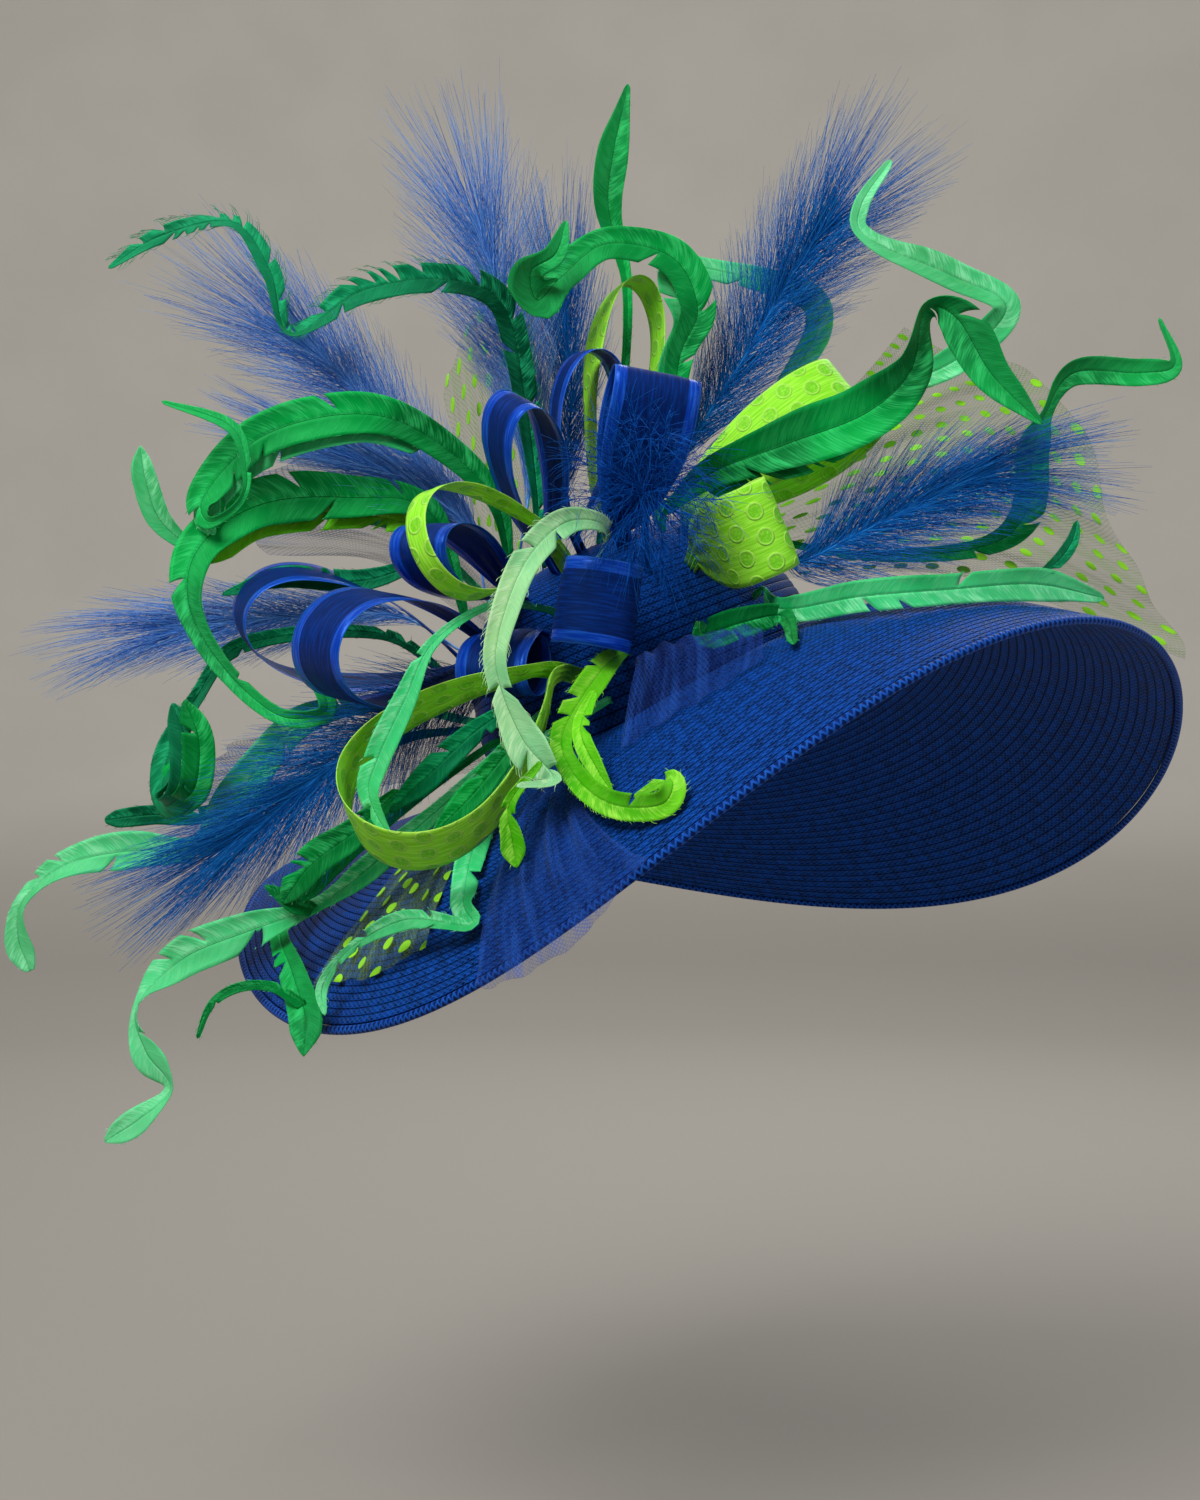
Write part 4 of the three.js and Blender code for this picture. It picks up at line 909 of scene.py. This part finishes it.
def centre_plume():
    """Tufts of barbs on curled stems, thrown out evenly all round and to the front."""
    draw = np.random.default_rng(PUFF_SEED)
    point, normal = crown_seat(*PUFF_SEAT)
    middle = placed(*PUFF_MIDDLE)
    paths = [np.linspace(point + normal * GAP, middle, 8)]
    radii = [np.full(8, PUFF_CORE_RADIUS)]
    t = np.linspace(0, 1, BARB_POINTS)[:, None]
    for tuft in range(PUFF_TUFTS):
        share = (tuft + 0.5) / PUFF_TUFTS
        turn = tuft * math.pi * (3 - math.sqrt(5))
        back = -0.8 * (1 - share) + 0.1
        spread = math.sqrt(1 - back * back)
        facing = np.array([spread * math.cos(turn) * 0.85, back, spread * math.sin(turn)])
        curl = unit(np.cross(facing, [0.3, 0.2, 1.0]))
        length = PUFF_REACH * (0.7 + 0.3 * draw.random())
        base = middle - UP * 0.004
        stem = base + facing * length * 0.8 * t + curl * length * 0.15 * t ** 2
        paths.append(stem - UP * 0.006 * t ** 2)
        radii.append(PUFF_STEM_RADIUS * np.linspace(1, 0.4, BARB_POINTS))
        for _ in range(PUFF_BARBS):
            at = draw.random() ** 0.8
            start = base + facing * length * 0.8 * at + curl * length * 0.15 * at ** 2
            away = unit(facing * 1.1 + draw.normal(size=3) * 0.75)
            reach = length * (0.32 + 0.3 * draw.random()) * (1.1 - 0.45 * at)
            bend = draw.normal(size=3) * reach * 0.16 - UP * reach * 0.3
            paths.append(start + away * reach * t + bend * t ** 2)
            radii.append(PUFF_BARB_RADIUS * np.linspace(1, 0.3, BARB_POINTS))
    strands("plume_centre_barbs", paths, radii, PUFF_FINISH, ["plume_centre"])


centre_plume()


# Straw crown and brim: rows of braid, each lapping the next
BRIM_LAP = 0.0007
CROWN_LAP = 0.0004


def braid_lap(share, rows):
    """Lift of each row of braid over the next, as a share of one lap."""
    row = (share * rows) % 1.0
    return np.sin(np.minimum(row / 0.75, 1.0) * np.pi * 0.5) * np.where(row > 0.93, 0.3, 1.0)


def brim_shape(u, v):
    """The brim's mid wall, from the crown out to the rim."""
    around, share = u * 360, v
    lap = braid_lap(share, BRIM_ROWS) * BRIM_LAP * (share > 0.01)
    place = brim_point(around, share, WALL * 0.5 + lap)
    return place, np.stack([u * 1.2, share * BRIM_ROWS], axis=1)


def crown_shape(u, v):
    """The crown's mid wall, from the opening up to the top."""
    around, rise = u * 360, v ** 0.9 * 90
    lap = braid_lap(v, CROWN_ROWS) * CROWN_LAP
    place = crown_point(around, rise, WALL * 0.5)
    away = unit(place - worn(np.zeros_like(u), np.zeros_like(u), np.full_like(u, 0.02)))
    return place + away * lap[:, None], np.stack([u * 0.6, v * CROWN_ROWS], axis=1)


def straw_piece(name, around, rows, shape, wall, node):
    """Straw braid in rings, three faces to a row."""
    mesh = grid_sheet(name, around, rows * 3, shape, closed=True)
    thicken(finished(name, mesh, STRAW, [node]), wall)


straw_piece("brim_braid", 220, BRIM_ROWS, brim_shape, WALL, "brim")
straw_piece("crown_braid", 110, CROWN_ROWS, crown_shape, WALL * 0.9, "crown")


# Rolled rim: a bound edge covered with crossing stitches
def rim_finish():
    """Blue thread in two crossing slants over a dark edge."""
    made = Finish("rim_binding", 0.5, Specular_Tint=tint("2a58b8"))
    w = made.w
    along, across, _ = w.split(made.fit())
    stitch = w.times(along, 1750.0)
    one = w.math("SINE", w.sum(stitch, w.times(across, 12.566)))
    two = w.math("SINE", w.sum(stitch, w.times(across, -12.566)))
    ribs = w.ramp(w.math("MAXIMUM", one, two), -0.3, 0.9)
    tone = w.noise(w.vector(w.times(along, 60.0), across), 1.0, 3.0)
    body = w.mix(ribs, tint("041a54"), tint("1c54b4"))
    body = w.mix(w.ramp(tone, 0.35, 0.7, 0.0, 0.35), body, tint("0a348c"))
    made.feed("Base Color", body)
    made.relief(ribs, 0.0009, 0.9)
    return made.material


RIM_FINISH = rim_finish()
RIM_RADIUS = 0.0024


def rim_shape(u, v):
    """A slightly flat roll just outside the rim."""
    around = u * 360
    rim = brim_point(around, 1.0, WALL / 2)
    outward = unit(rim - brim_point(around, 0.97, WALL / 2))
    along = unit(brim_point(around + 1, 1.0, WALL / 2) - brim_point(around - 1, 1.0, WALL / 2))
    upward = np.cross(outward, along)
    turn = v * 2 * np.pi
    middle = rim + outward * (RIM_RADIUS * 0.87 + 2 * GAP)
    place = middle + outward * (RIM_RADIUS * np.cos(turn))[:, None]
    place = place - upward * (RIM_RADIUS * 0.9 * np.sin(turn))[:, None]
    return place, np.stack([u * 1.6, v], axis=1)


finished("rim_binding", grid_sheet("rim_binding", 480, 12, rim_shape, closed=True), RIM_FINISH,
         ["brim_edge"])


# Ribbons: seat on the crown, neck above it, tip as right, up, back, half opening, width and the
# direction of the width as right, up, back
def navy_finish():
    """Sheer ribbon between satin edges: the edges carry painted highlight streaks over their navy, and
    the middle lets light through.
    """
    made = Finish("navy_satin_edged_ribbon", 0.35, Specular_IOR_Level=0.9, Specular_Tint=tint("4c8cff"))
    w = made.w
    threads = made.spread(CLOTH_THREADS, Fit=made.fit(), Threads=9000.0)
    edge = w.add("Attribute", output="Fac", attribute_name="edge")
    satin = w.ramp(edge, 0.0062, 0.0068, 1.0, 0.0)
    hem = w.ramp(edge, 0.0004, 0.0009, 1.0, 0.0)
    streaks = w.ramp(threads["Tone"], 0.4, 0.72)
    sheer = w.mix(w.times(streaks, 0.6), tint("001450"), tint("02389e"))
    # painted highlight: the satin edges are their navy made lighter in streaks along the ribbon,
    # standing in for the sheen of satin
    satin_with_painted_sheen = w.mix(w.times(streaks, 0.5), tint("0838ac"), tint("2e74ec"))
    body = w.mix(satin, sheer, satin_with_painted_sheen)
    body = w.mix(w.times(hem, 0.5), body, tint("3a7ae4"))
    made.feed("Base Color", body)
    made.feed("Alpha", w.ramp(edge, 0.0060, 0.0070, 1.0, 0.92))
    made.feed("Roughness", w.ramp(satin, 0.0, 1.0, 0.62, 0.24))
    made.relief(threads["Height"], 0.0001, 0.4)
    return made.material


def lime_finish():
    """Matt lime ribbon with raised dots in its own colour, a painted highlight on each dot's raised
    outline, and a bright woven edge.
    """
    made = Finish("lime_dotted_ribbon", 0.5, Specular_Tint=tint("c4fa74"), Subsurface_Weight=0.1,
                  Subsurface_Scale=0.002)
    w = made.w
    fit = made.fit()
    threads = made.spread(CLOTH_THREADS, Fit=fit, Threads=7000.0)
    dots = made.spread(ROUND_DOTS, Fit=fit, Pitch=0.0138, Radius=0.0046)
    edge = w.add("Attribute", output="Fac", attribute_name="edge")
    hem = w.ramp(edge, 0.0005, 0.0011, 1.0, 0.0)
    fine = w.noise(w.add("TexCoord", output="Object"), 700.0, 2.0)
    body = w.mix(w.ramp(threads["Tone"], 0.35, 0.7), tint("88e42a"), tint("aafc4c"))
    body = w.mix(w.times(dots["Dot"], w.ramp(fine, 0.35, 0.6, 0.35, 0.85)), body, tint("70cc2a"))
    # painted highlight: the raised outline of each dot lightened
    body = w.mix(w.times(dots["Outline"], 0.5), body, tint("c4fa74"))
    body = w.mix(w.times(hem, 0.7), body, tint("b8f46a"))
    made.feed("Base Color", body)
    made.feed("Roughness", w.ramp(dots["Dot"], 0.0, 1.0, 0.55, 0.35))
    height = w.sum(w.times(threads["Height"], 0.2), w.sum(dots["Dot"], w.times(dots["Outline"], 0.6)))
    made.relief(height, 0.0005, 0.7)
    return made.material


NAVY = navy_finish()
LIME = lime_finish()
LOOPS = {
    "ribbon_left": dict(finish=NAVY, seat=(203, 38), tip=(-240, 68, -90), open=28, width=38,
                        across=(0.6, -0.35, -0.72)),
    "ribbon_left_front": dict(finish=NAVY, seat=(222, 38), tip=(-198, 44, -148), open=28, width=38,
                              across=(0.6, -0.2, -0.78)),
    "ribbon_rolled": dict(finish=NAVY, seat=(230, 56), tip=(-140, 104, -128), open=16, width=34,
                          across=(0.5, 0.1, -0.85)),
    "ribbon_upper_left": dict(finish=NAVY, seat=(248, 66), tip=(-86, 184, -112), open=16, width=28,
                              across=(0.4, 0.05, -0.9)),
    "ribbon_top_arch": dict(finish=NAVY, seat=(262, 76), tip=(-40, 212, -46), open=18, width=26,
                            across=(0.3, -0.25, -0.9)),
    "ribbon_upright": dict(finish=NAVY, seat=(284, 64), tip=(-4, 199, -106), open=13, width=46,
                           across=(1, 0, 0.1)),
    "ribbon_front": dict(finish=NAVY, seat=(262, 34), tip=(-38, 70, -142), open=20, width=44,
                         across=(0.15, 1, 0.05)),
    "ribbon_low_front": dict(finish=NAVY, seat=(240, 37), tip=(-98, 24, -122), open=14, width=40,
                             across=(1, 0.1, -0.3)),
    "ribbon_lime_front": dict(finish=LIME, seat=(300, 40), tip=(62, 114, -120), open=16, width=48,
                              across=(0.57, -0.82, -0.1)),
    "ribbon_lime_behind": dict(finish=LIME, seat=(322, 62), tip=(108, 186, -34), open=16, width=52,
                               across=(0.7, -0.65, -0.3)),
    "ribbon_lime_top": dict(finish=LIME, seat=(300, 86), tip=(-17, 251, -8), open=19, width=22,
                            across=(0.4, 0, -0.92)),
    "ribbon_lime_hanging": dict(finish=LIME, seat=(252, 18), neck=62, tip=(-170, -62, -184), open=38,
                                width=32, across=(0.1, 0.7, -0.7)),
    "ribbon_lime_ring": dict(finish=LIME, seat=(258, 54), neck=40, tip=(-139, 103, -178), open=28,
                             width=14, across=(0.15, 0.1, -1)),
}
LOOP_NECK = 11
LOOP_STEPS = 16
LOOP_ROOT_WIDTH = 9
ROOT_SPREAD = 1.5
LEG_STEP = 14
LOOP_FULLNESS = 1.3
ROOT_STEPS = 6
RIBBON_STEP = 0.0032
RIBBON_THICKNESS = 0.0003
RIBBON_RIPPLE = 0.0016
RIBBON_CUP = 0.05
ROOT_PLEAT = 0.0012


def ribbon_route(form):
    """The middle line of a ribbon loop with its width, and the way the width points."""
    point, normal = crown_seat(*form["seat"])
    lift = form.get("neck", LOOP_NECK)
    neck = point + normal * lift * MM
    axis = placed(*form["tip"]) - neck
    length = np.linalg.norm(axis)
    axis = axis / length
    right, up, back = form["across"]
    side = np.array([right, back, up], float)
    side = unit(side - axis * side.dot(axis))
    bulge = np.cross(side, axis)
    root_side = unit(side - normal * side.dot(normal))
    leg_steps = max(1, round(lift / LEG_STEP))
    leg = []
    for k in range(leg_steps):
        share = k / leg_steps
        facing = root_side * (1 - share) + side * share
        foot = point + normal * (GAP * (1 - share) + lift * MM * share)
        apart = unit(np.cross(facing, normal)) * ROOT_SPREAD * MM
        leg.append((foot, facing, apart))
    skipped = 1 if leg_steps > 1 else 0
    places = [foot + apart for foot, _, apart in leg]
    facings = [facing for _, facing, _ in leg]
    for i in range(skipped, LOOP_STEPS + 1 - skipped):
        t = i / LOOP_STEPS
        along = length * math.sin(math.pi * t) ** 2
        swell = form["open"] * LOOP_FULLNESS * math.sin(2 * math.pi * t) * math.sin(math.pi * t)
        out = (swell + ROOT_SPREAD * (1 - 2 * t)) * MM
        places.append(neck + axis * along + bulge * out)
        facings.append(side)
    places += [foot - apart for foot, _, apart in reversed(leg)]
    facings += [facing for _, facing, _ in reversed(leg)]
    count = len(places)
    from_leg = np.minimum(np.arange(count), count - 1 - np.arange(count)) - leg_steps + 1
    share = np.clip(from_leg / ROOT_STEPS, 0, 1)
    share = share * share * (3 - 2 * share)
    widths = (LOOP_ROOT_WIDTH * (1 - share) + form["width"] * share)[:, None]
    return Route(places, np.hstack([widths, np.array(facings)]), RIBBON_STEP)


def ribbon(name, form):
    """A loop of flat ribbon, pleated where it narrows to its roots."""
    route = ribbon_route(form)
    facing = route.values[:, 1:]
    sides = unit(facing - route.tangent * (facing * route.tangent).sum(axis=1, keepdims=True))
    normals = np.cross(sides, route.tangent)
    steps = len(route.at) - 1
    wide = max(8, round(form["width"] / 3.2))
    full = form["width"] * MM

    def shape(u, v):
        i = np.clip(np.rint(u * steps).astype(int), 0, steps)
        out = v - 0.5
        width = route.values[i, 0] * MM
        ease = (width / full) ** 2
        ripple = RIBBON_RIPPLE * np.sin(route.at[i] * 70 + v * 3) * np.abs(out)
        curl = (ripple - RIBBON_CUP * width * out ** 2) * ease
        pleat = ROOT_PLEAT * np.sin(v * 22) * (1 - ease)
        place = route.place[i] + sides[i] * (out * width)[:, None]
        place = place + normals[i] * (curl + pleat)[:, None]
        return place, np.stack([route.at[i], v * full], axis=1)

    mesh = grid_sheet(name + "_ribbon", steps, wide, shape)
    across = np.zeros(len(mesh.vertices))
    for loop, mark in zip(mesh.loops, mesh.uv_layers["fit"].data):
        across[loop.vertex_index] = mark.uv[1]
    edge = mesh.attributes.new("edge", "FLOAT", "POINT")
    edge.data.foreach_set("value", np.minimum(across, full - across))
    piece = finished(name + "_ribbon", mesh, form["finish"], [name])
    thicken(piece, RIBBON_THICKNESS)


for name, form in LOOPS.items():
    ribbon(name, form)


# Net: edges on the crown (around, rise, lift), on the brim (around, share, lift) or in the open
# (right, up, back), joined across with gathers
def net_finish(name, thread, fold, cover, dot=None):
    """See-through net, denser where it gathers, with opaque dots where a dot colour is given."""
    made = Finish(name, 0.7, Sheen_Weight=0.1)
    w = made.w
    fit = made.fit()
    cells = made.spread(NET_CELLS, Fit=fit, Cells=420.0)
    body = w.mix(cells["Gather"], tint(thread), tint(fold))
    mesh_share = w.ramp(cells["Thread"], 0.0, 1.0, 0.5, 1.5)
    alpha = w.times(w.times(mesh_share, w.ramp(cells["Gather"], 0.0, 1.0, 0.7, 1.7)), cover)
    if dot:
        dots = made.spread(ROUND_DOTS, Fit=fit, Pitch=0.0168, Radius=0.0037)
        body = w.mix(dots["Dot"], body, tint(dot))
        alpha = w.math("MAXIMUM", alpha, w.times(dots["Dot"], 0.94))
        made.relief(dots["Dot"], 0.0004, 0.5)
    else:
        made.relief(cells["Thread"], 0.0002, 0.5)
    made.feed("Base Color", body)
    made.feed("Alpha", alpha)
    return made.material


NET_BLUE = net_finish("blue_net", "04287e", "1450b4", 0.17)
NET_GREY = net_finish("grey_blue_net", "44527e", "5a6a98", 0.2)
NET_LIME = net_finish("lime_dotted_net", "6a8c54", "7fa656", 0.14, "98ea28")
NETS = {
    "net_front": dict(finish=NET_BLUE, gathers=5, depth=1.6, edges=[
        ("crown", [(260, 12, 0.5), (266, 12, 0.5), (272, 12, 0.5), (277, 12, 0.5)]),
        ("open", [(-18, 36, -134), (2, 46, -138), (28, 52, -142), (50, 56, -146)]),
        ("brim", [(261, 0.52, 3), (269, 0.54, 3), (277, 0.56, 3), (285, 0.56, 3)])]),
    "net_rim": dict(finish=NET_BLUE, gathers=4, depth=1.6, edges=[
        ("brim", [(240, 0.4, 0.9), (244, 0.4, 0.9), (248, 0.42, 0.9), (252, 0.54, 0.9)]),
        ("brim", [(240, 0.8, 6), (246, 0.84, 9), (252, 0.86, 9), (258, 0.86, 6)]),
        ("brim", [(241, 1.06, 4), (248, 1.16, 2), (255, 1.14, 2), (262, 1.06, 4)])]),
    "net_band": dict(finish=NET_BLUE, gathers=3, depth=0.9, edges=[
        ("brim", [(302, 0.1, 2.2), (311, 0.14, 2.2), (322, 0.24, 2.2), (334, 0.4, 2.2)]),
        ("brim", [(300, 0.28, 9), (309, 0.34, 10), (321, 0.42, 8), (334, 0.56, 5)]),
        ("brim", [(299, 0.46, 4.5), (308, 0.5, 5), (320, 0.6, 5), (334, 0.72, 4)])]),
    "net_left_low": dict(finish=NET_GREY, gathers=4, depth=1.2, edges=[
        ("crown", [(180, 21, 0.5), (180, 14, 0.5), (180, 7, 0.5)]),
        ("open", [(-205, -4, 26), (-200, -20, 24), (-200, -40, 24)]),
        ("open", [(-240, -8, 16), (-261, -27, 12), (-256, -52, 12)])]),
    "net_left_high": dict(finish=NET_GREY, gathers=4, depth=2.4, edges=[
        ("crown", [(176, 56, 0.9), (178, 64, 0.9), (180, 72, 0.9)]),
        ("open", [(-160, 92, 6), (-155, 112, 6), (-140, 136, 6)]),
        ("open", [(-222, 96, 4), (-246, 124, 4), (-205, 158, 4)])]),
    "net_dotted_right": dict(finish=NET_LIME, gathers=5, depth=4, edges=[
        ("crown", [(26, 30, 0.9), (20, 44, 0.9), (16, 58, 0.9), (14, 68, 0.9)]),
        ("open", [(170, 84, 40), (170, 130, 38), (140, 170, 38), (100, 186, 40)]),
        ("open", [(289, 38, 14), (262, 100, 22), (214, 190, 30), (134, 224, 38)])]),
    "net_dotted_left": dict(finish=NET_LIME, gathers=4, depth=0.8, edges=[
        ("brim", [(206, 0.46, 1.1), (216, 0.42, 1.1), (226, 0.42, 1.1)]),
        ("brim", [(208, 0.9, 4), (218, 0.88, 4), (230, 0.84, 4)])]),
    "net_dotted_top": dict(finish=NET_LIME, gathers=4, depth=2, edges=[
        ("crown", [(150, 56, 0.9), (136, 54, 0.9), (122, 52, 0.9)]),
        ("open", [(-125, 184, 46), (-108, 236, 46), (-72, 240, 46)])]),
}
NET_SPAN = 72
NET_LAYERS = 30
NET_THICKNESS = 0.0003
FREE_FROM = 0.7


def edge_point(kind, row):
    """A point of a net's edge in space."""
    if kind == "open":
        return placed(*row)
    if kind == "brim":
        return brim_point(row[0], row[1], WALL + row[2] * MM)
    point, normal = crown_seat(row[0], row[1])
    return point + normal * row[2] * MM


def net(name, form):
    """A gathered sheet of net joined across its edges, wavy where it hangs free."""
    edges = form["edges"]
    flat = all(kind == "brim" for kind, _ in edges)
    curves = [smooth(rows, NET_SPAN + 1) for _, rows in edges]
    sheet = np.zeros((NET_SPAN + 1, NET_LAYERS + 1, 3))
    for i in range(NET_SPAN + 1):
        rows = [curve[i] for curve in curves]
        if flat:
            column = smooth(rows, NET_LAYERS + 1)
            sheet[i] = [edge_point("brim", row) for row in column]
        else:
            held = [edge_point(kind, row) for (kind, _), row in zip(edges, rows)]
            sheet[i] = smooth(held, NET_LAYERS + 1)
    normal = unit(np.cross(np.gradient(sheet, axis=0), np.gradient(sheet, axis=1)))
    across = np.linspace(0, 1, NET_SPAN + 1)[:, None]
    down = np.linspace(0, 1, NET_LAYERS + 1)[None, :]
    wave = np.sin(2 * np.pi * form["gathers"] * (across + 0.06 * np.sin(down * 5)))
    wave = wave + 0.4 * np.sin(2 * np.pi * form["gathers"] * 2.3 * across + 2 * down)
    wave = wave * form["depth"] * MM * np.sin(np.pi * np.clip(down, 0.04, 0.82))
    sheet = sheet + normal * wave[:, :, None]
    free = np.clip((down - FREE_FROM) / (1 - FREE_FROM), 0, 1) ** 2
    hem = 0.018 * np.sin(across * 11 + 1) + 0.012 * np.sin(across * 27)
    sheet = sheet + (sheet - sheet[:, :1]) * (free * hem)[:, :, None]
    length = np.linalg.norm(np.diff(sheet, axis=1), axis=2).sum(axis=1).mean()
    width = np.linalg.norm(np.diff(sheet, axis=0), axis=2).sum(axis=0).max()

    def shape(u, v):
        i = np.rint(u * NET_SPAN).astype(int)
        k = np.rint(v * NET_LAYERS).astype(int)
        return sheet[i, k], np.stack([u * width, v * length], axis=1)

    mesh = grid_sheet(name + "_veil", NET_SPAN, NET_LAYERS, shape)
    piece = finished(name + "_veil", mesh, form["finish"], [name])
    thicken(piece, NET_THICKNESS)


for name, form in NETS.items():
    net(name, form)

# Floor, lights and camera
FLOOR_LEVEL = -0.46
FLOOR_PROFILE = [
    (2.6, 0.0), (3.4, 0.06), (4.1, 0.24), (4.7, 0.56), (5.1, 1.0), (5.35, 1.7), (5.45, 2.6), (5.5, 6.0),
]


def plain_floor():
    """A pale floor that turns up into a wall far off all round, turned from one profile."""
    bowl = bmesh.new()
    start = bmesh.ops.create_vert(bowl, co=(0.0, 0.0, FLOOR_LEVEL))["vert"][0]
    profile = [start]
    edges = []
    for radius, height in FLOOR_PROFILE:
        grown = bmesh.ops.create_vert(bowl, co=(radius, 0.0, FLOOR_LEVEL + height))["vert"][0]
        edges.append(bowl.edges.new((profile[-1], grown)))
        profile.append(grown)
    bmesh.ops.spin(bowl, geom=profile + edges, cent=(0, 0, 0), axis=(0, 0, 1),
                   angle=2 * math.pi, steps=72, use_merge=True)
    bmesh.ops.remove_doubles(bowl, verts=bowl.verts, dist=1e-5)
    bmesh.ops.recalc_face_normals(bowl, faces=bowl.faces)
    for face in bowl.faces:
        face.smooth = True
    mesh = bpy.data.meshes.new("floor")
    bowl.to_mesh(mesh)
    bowl.free()
    made = Finish("pale_floor", 0.85)
    w = made.w
    place = w.add("TexCoord", output="Object")
    tone = w.noise(place, 3.0, 4.0)
    _, _, height = w.split(place)
    wall = w.mix(w.ramp(tone, 0.3, 0.7), tint("b4b0a8"), tint("b8b4ac"))
    body = w.mix(w.ramp(height, FLOOR_LEVEL, FLOOR_LEVEL + 0.5), tint("95918a"), wall)
    made.feed("Base Color", body)
    mesh.materials.append(made.material)
    floor = bpy.data.objects.new("floor", mesh)
    bpy.context.scene.collection.objects.link(floor)


plain_floor()


def soft_light(name, place, aim, size, power, colour):
    """A wide lamp turned to its aim."""
    lamp = bpy.data.lights.new(name, "AREA")
    lamp.shape = "RECTANGLE"
    lamp.size, lamp.size_y = size
    lamp.energy = power
    lamp.color = colour
    held = bpy.data.objects.new(name, lamp)
    held.location = place
    held.rotation_euler = (Vector(aim) - Vector(place)).to_track_quat("-Z", "Y").to_euler()
    bpy.context.scene.collection.objects.link(held)


MIDDLE = (-0.02, 0.0, 0.06)
soft_light("key_light", (-1.0, -1.7, 1.7), MIDDLE, (1.2, 1.2), 62, (1.0, 0.98, 0.95))
soft_light("fill_light", (1.7, -1.3, 0.5), MIDDLE, (1.6, 1.6), 10, (0.96, 0.98, 1.0))
soft_light("back_light", (0.6, 1.5, 1.6), MIDDLE, (1.6, 1.0), 26, (1.0, 1.0, 1.0))
soft_light("wall_light", (0.0, 1.6, 2.6), (0.0, 5.4, 0.9), (3.0, 1.0), 66, (1.0, 0.99, 0.97))
world = bpy.data.worlds.new("studio")
world.use_nodes = True
world.node_tree.nodes["Background"].inputs["Color"].default_value = (0.95, 0.96, 1.0, 1.0)
world.node_tree.nodes["Background"].inputs["Strength"].default_value = 0.5
bpy.context.scene.world = world
bpy.context.scene.view_settings.view_transform = "Standard"

lens = bpy.data.cameras.new("camera")
lens.sensor_width = 36.0
lens.lens = 51.12
lens.shift_y = 0.0267
lens.clip_end = 40.0
camera = bpy.data.objects.new("camera", lens)
camera.location = tuple(EYE)
camera.rotation_euler = (math.radians(90), 0.0, 0.0)
bpy.context.scene.collection.objects.link(camera)
bpy.context.scene.camera = camera
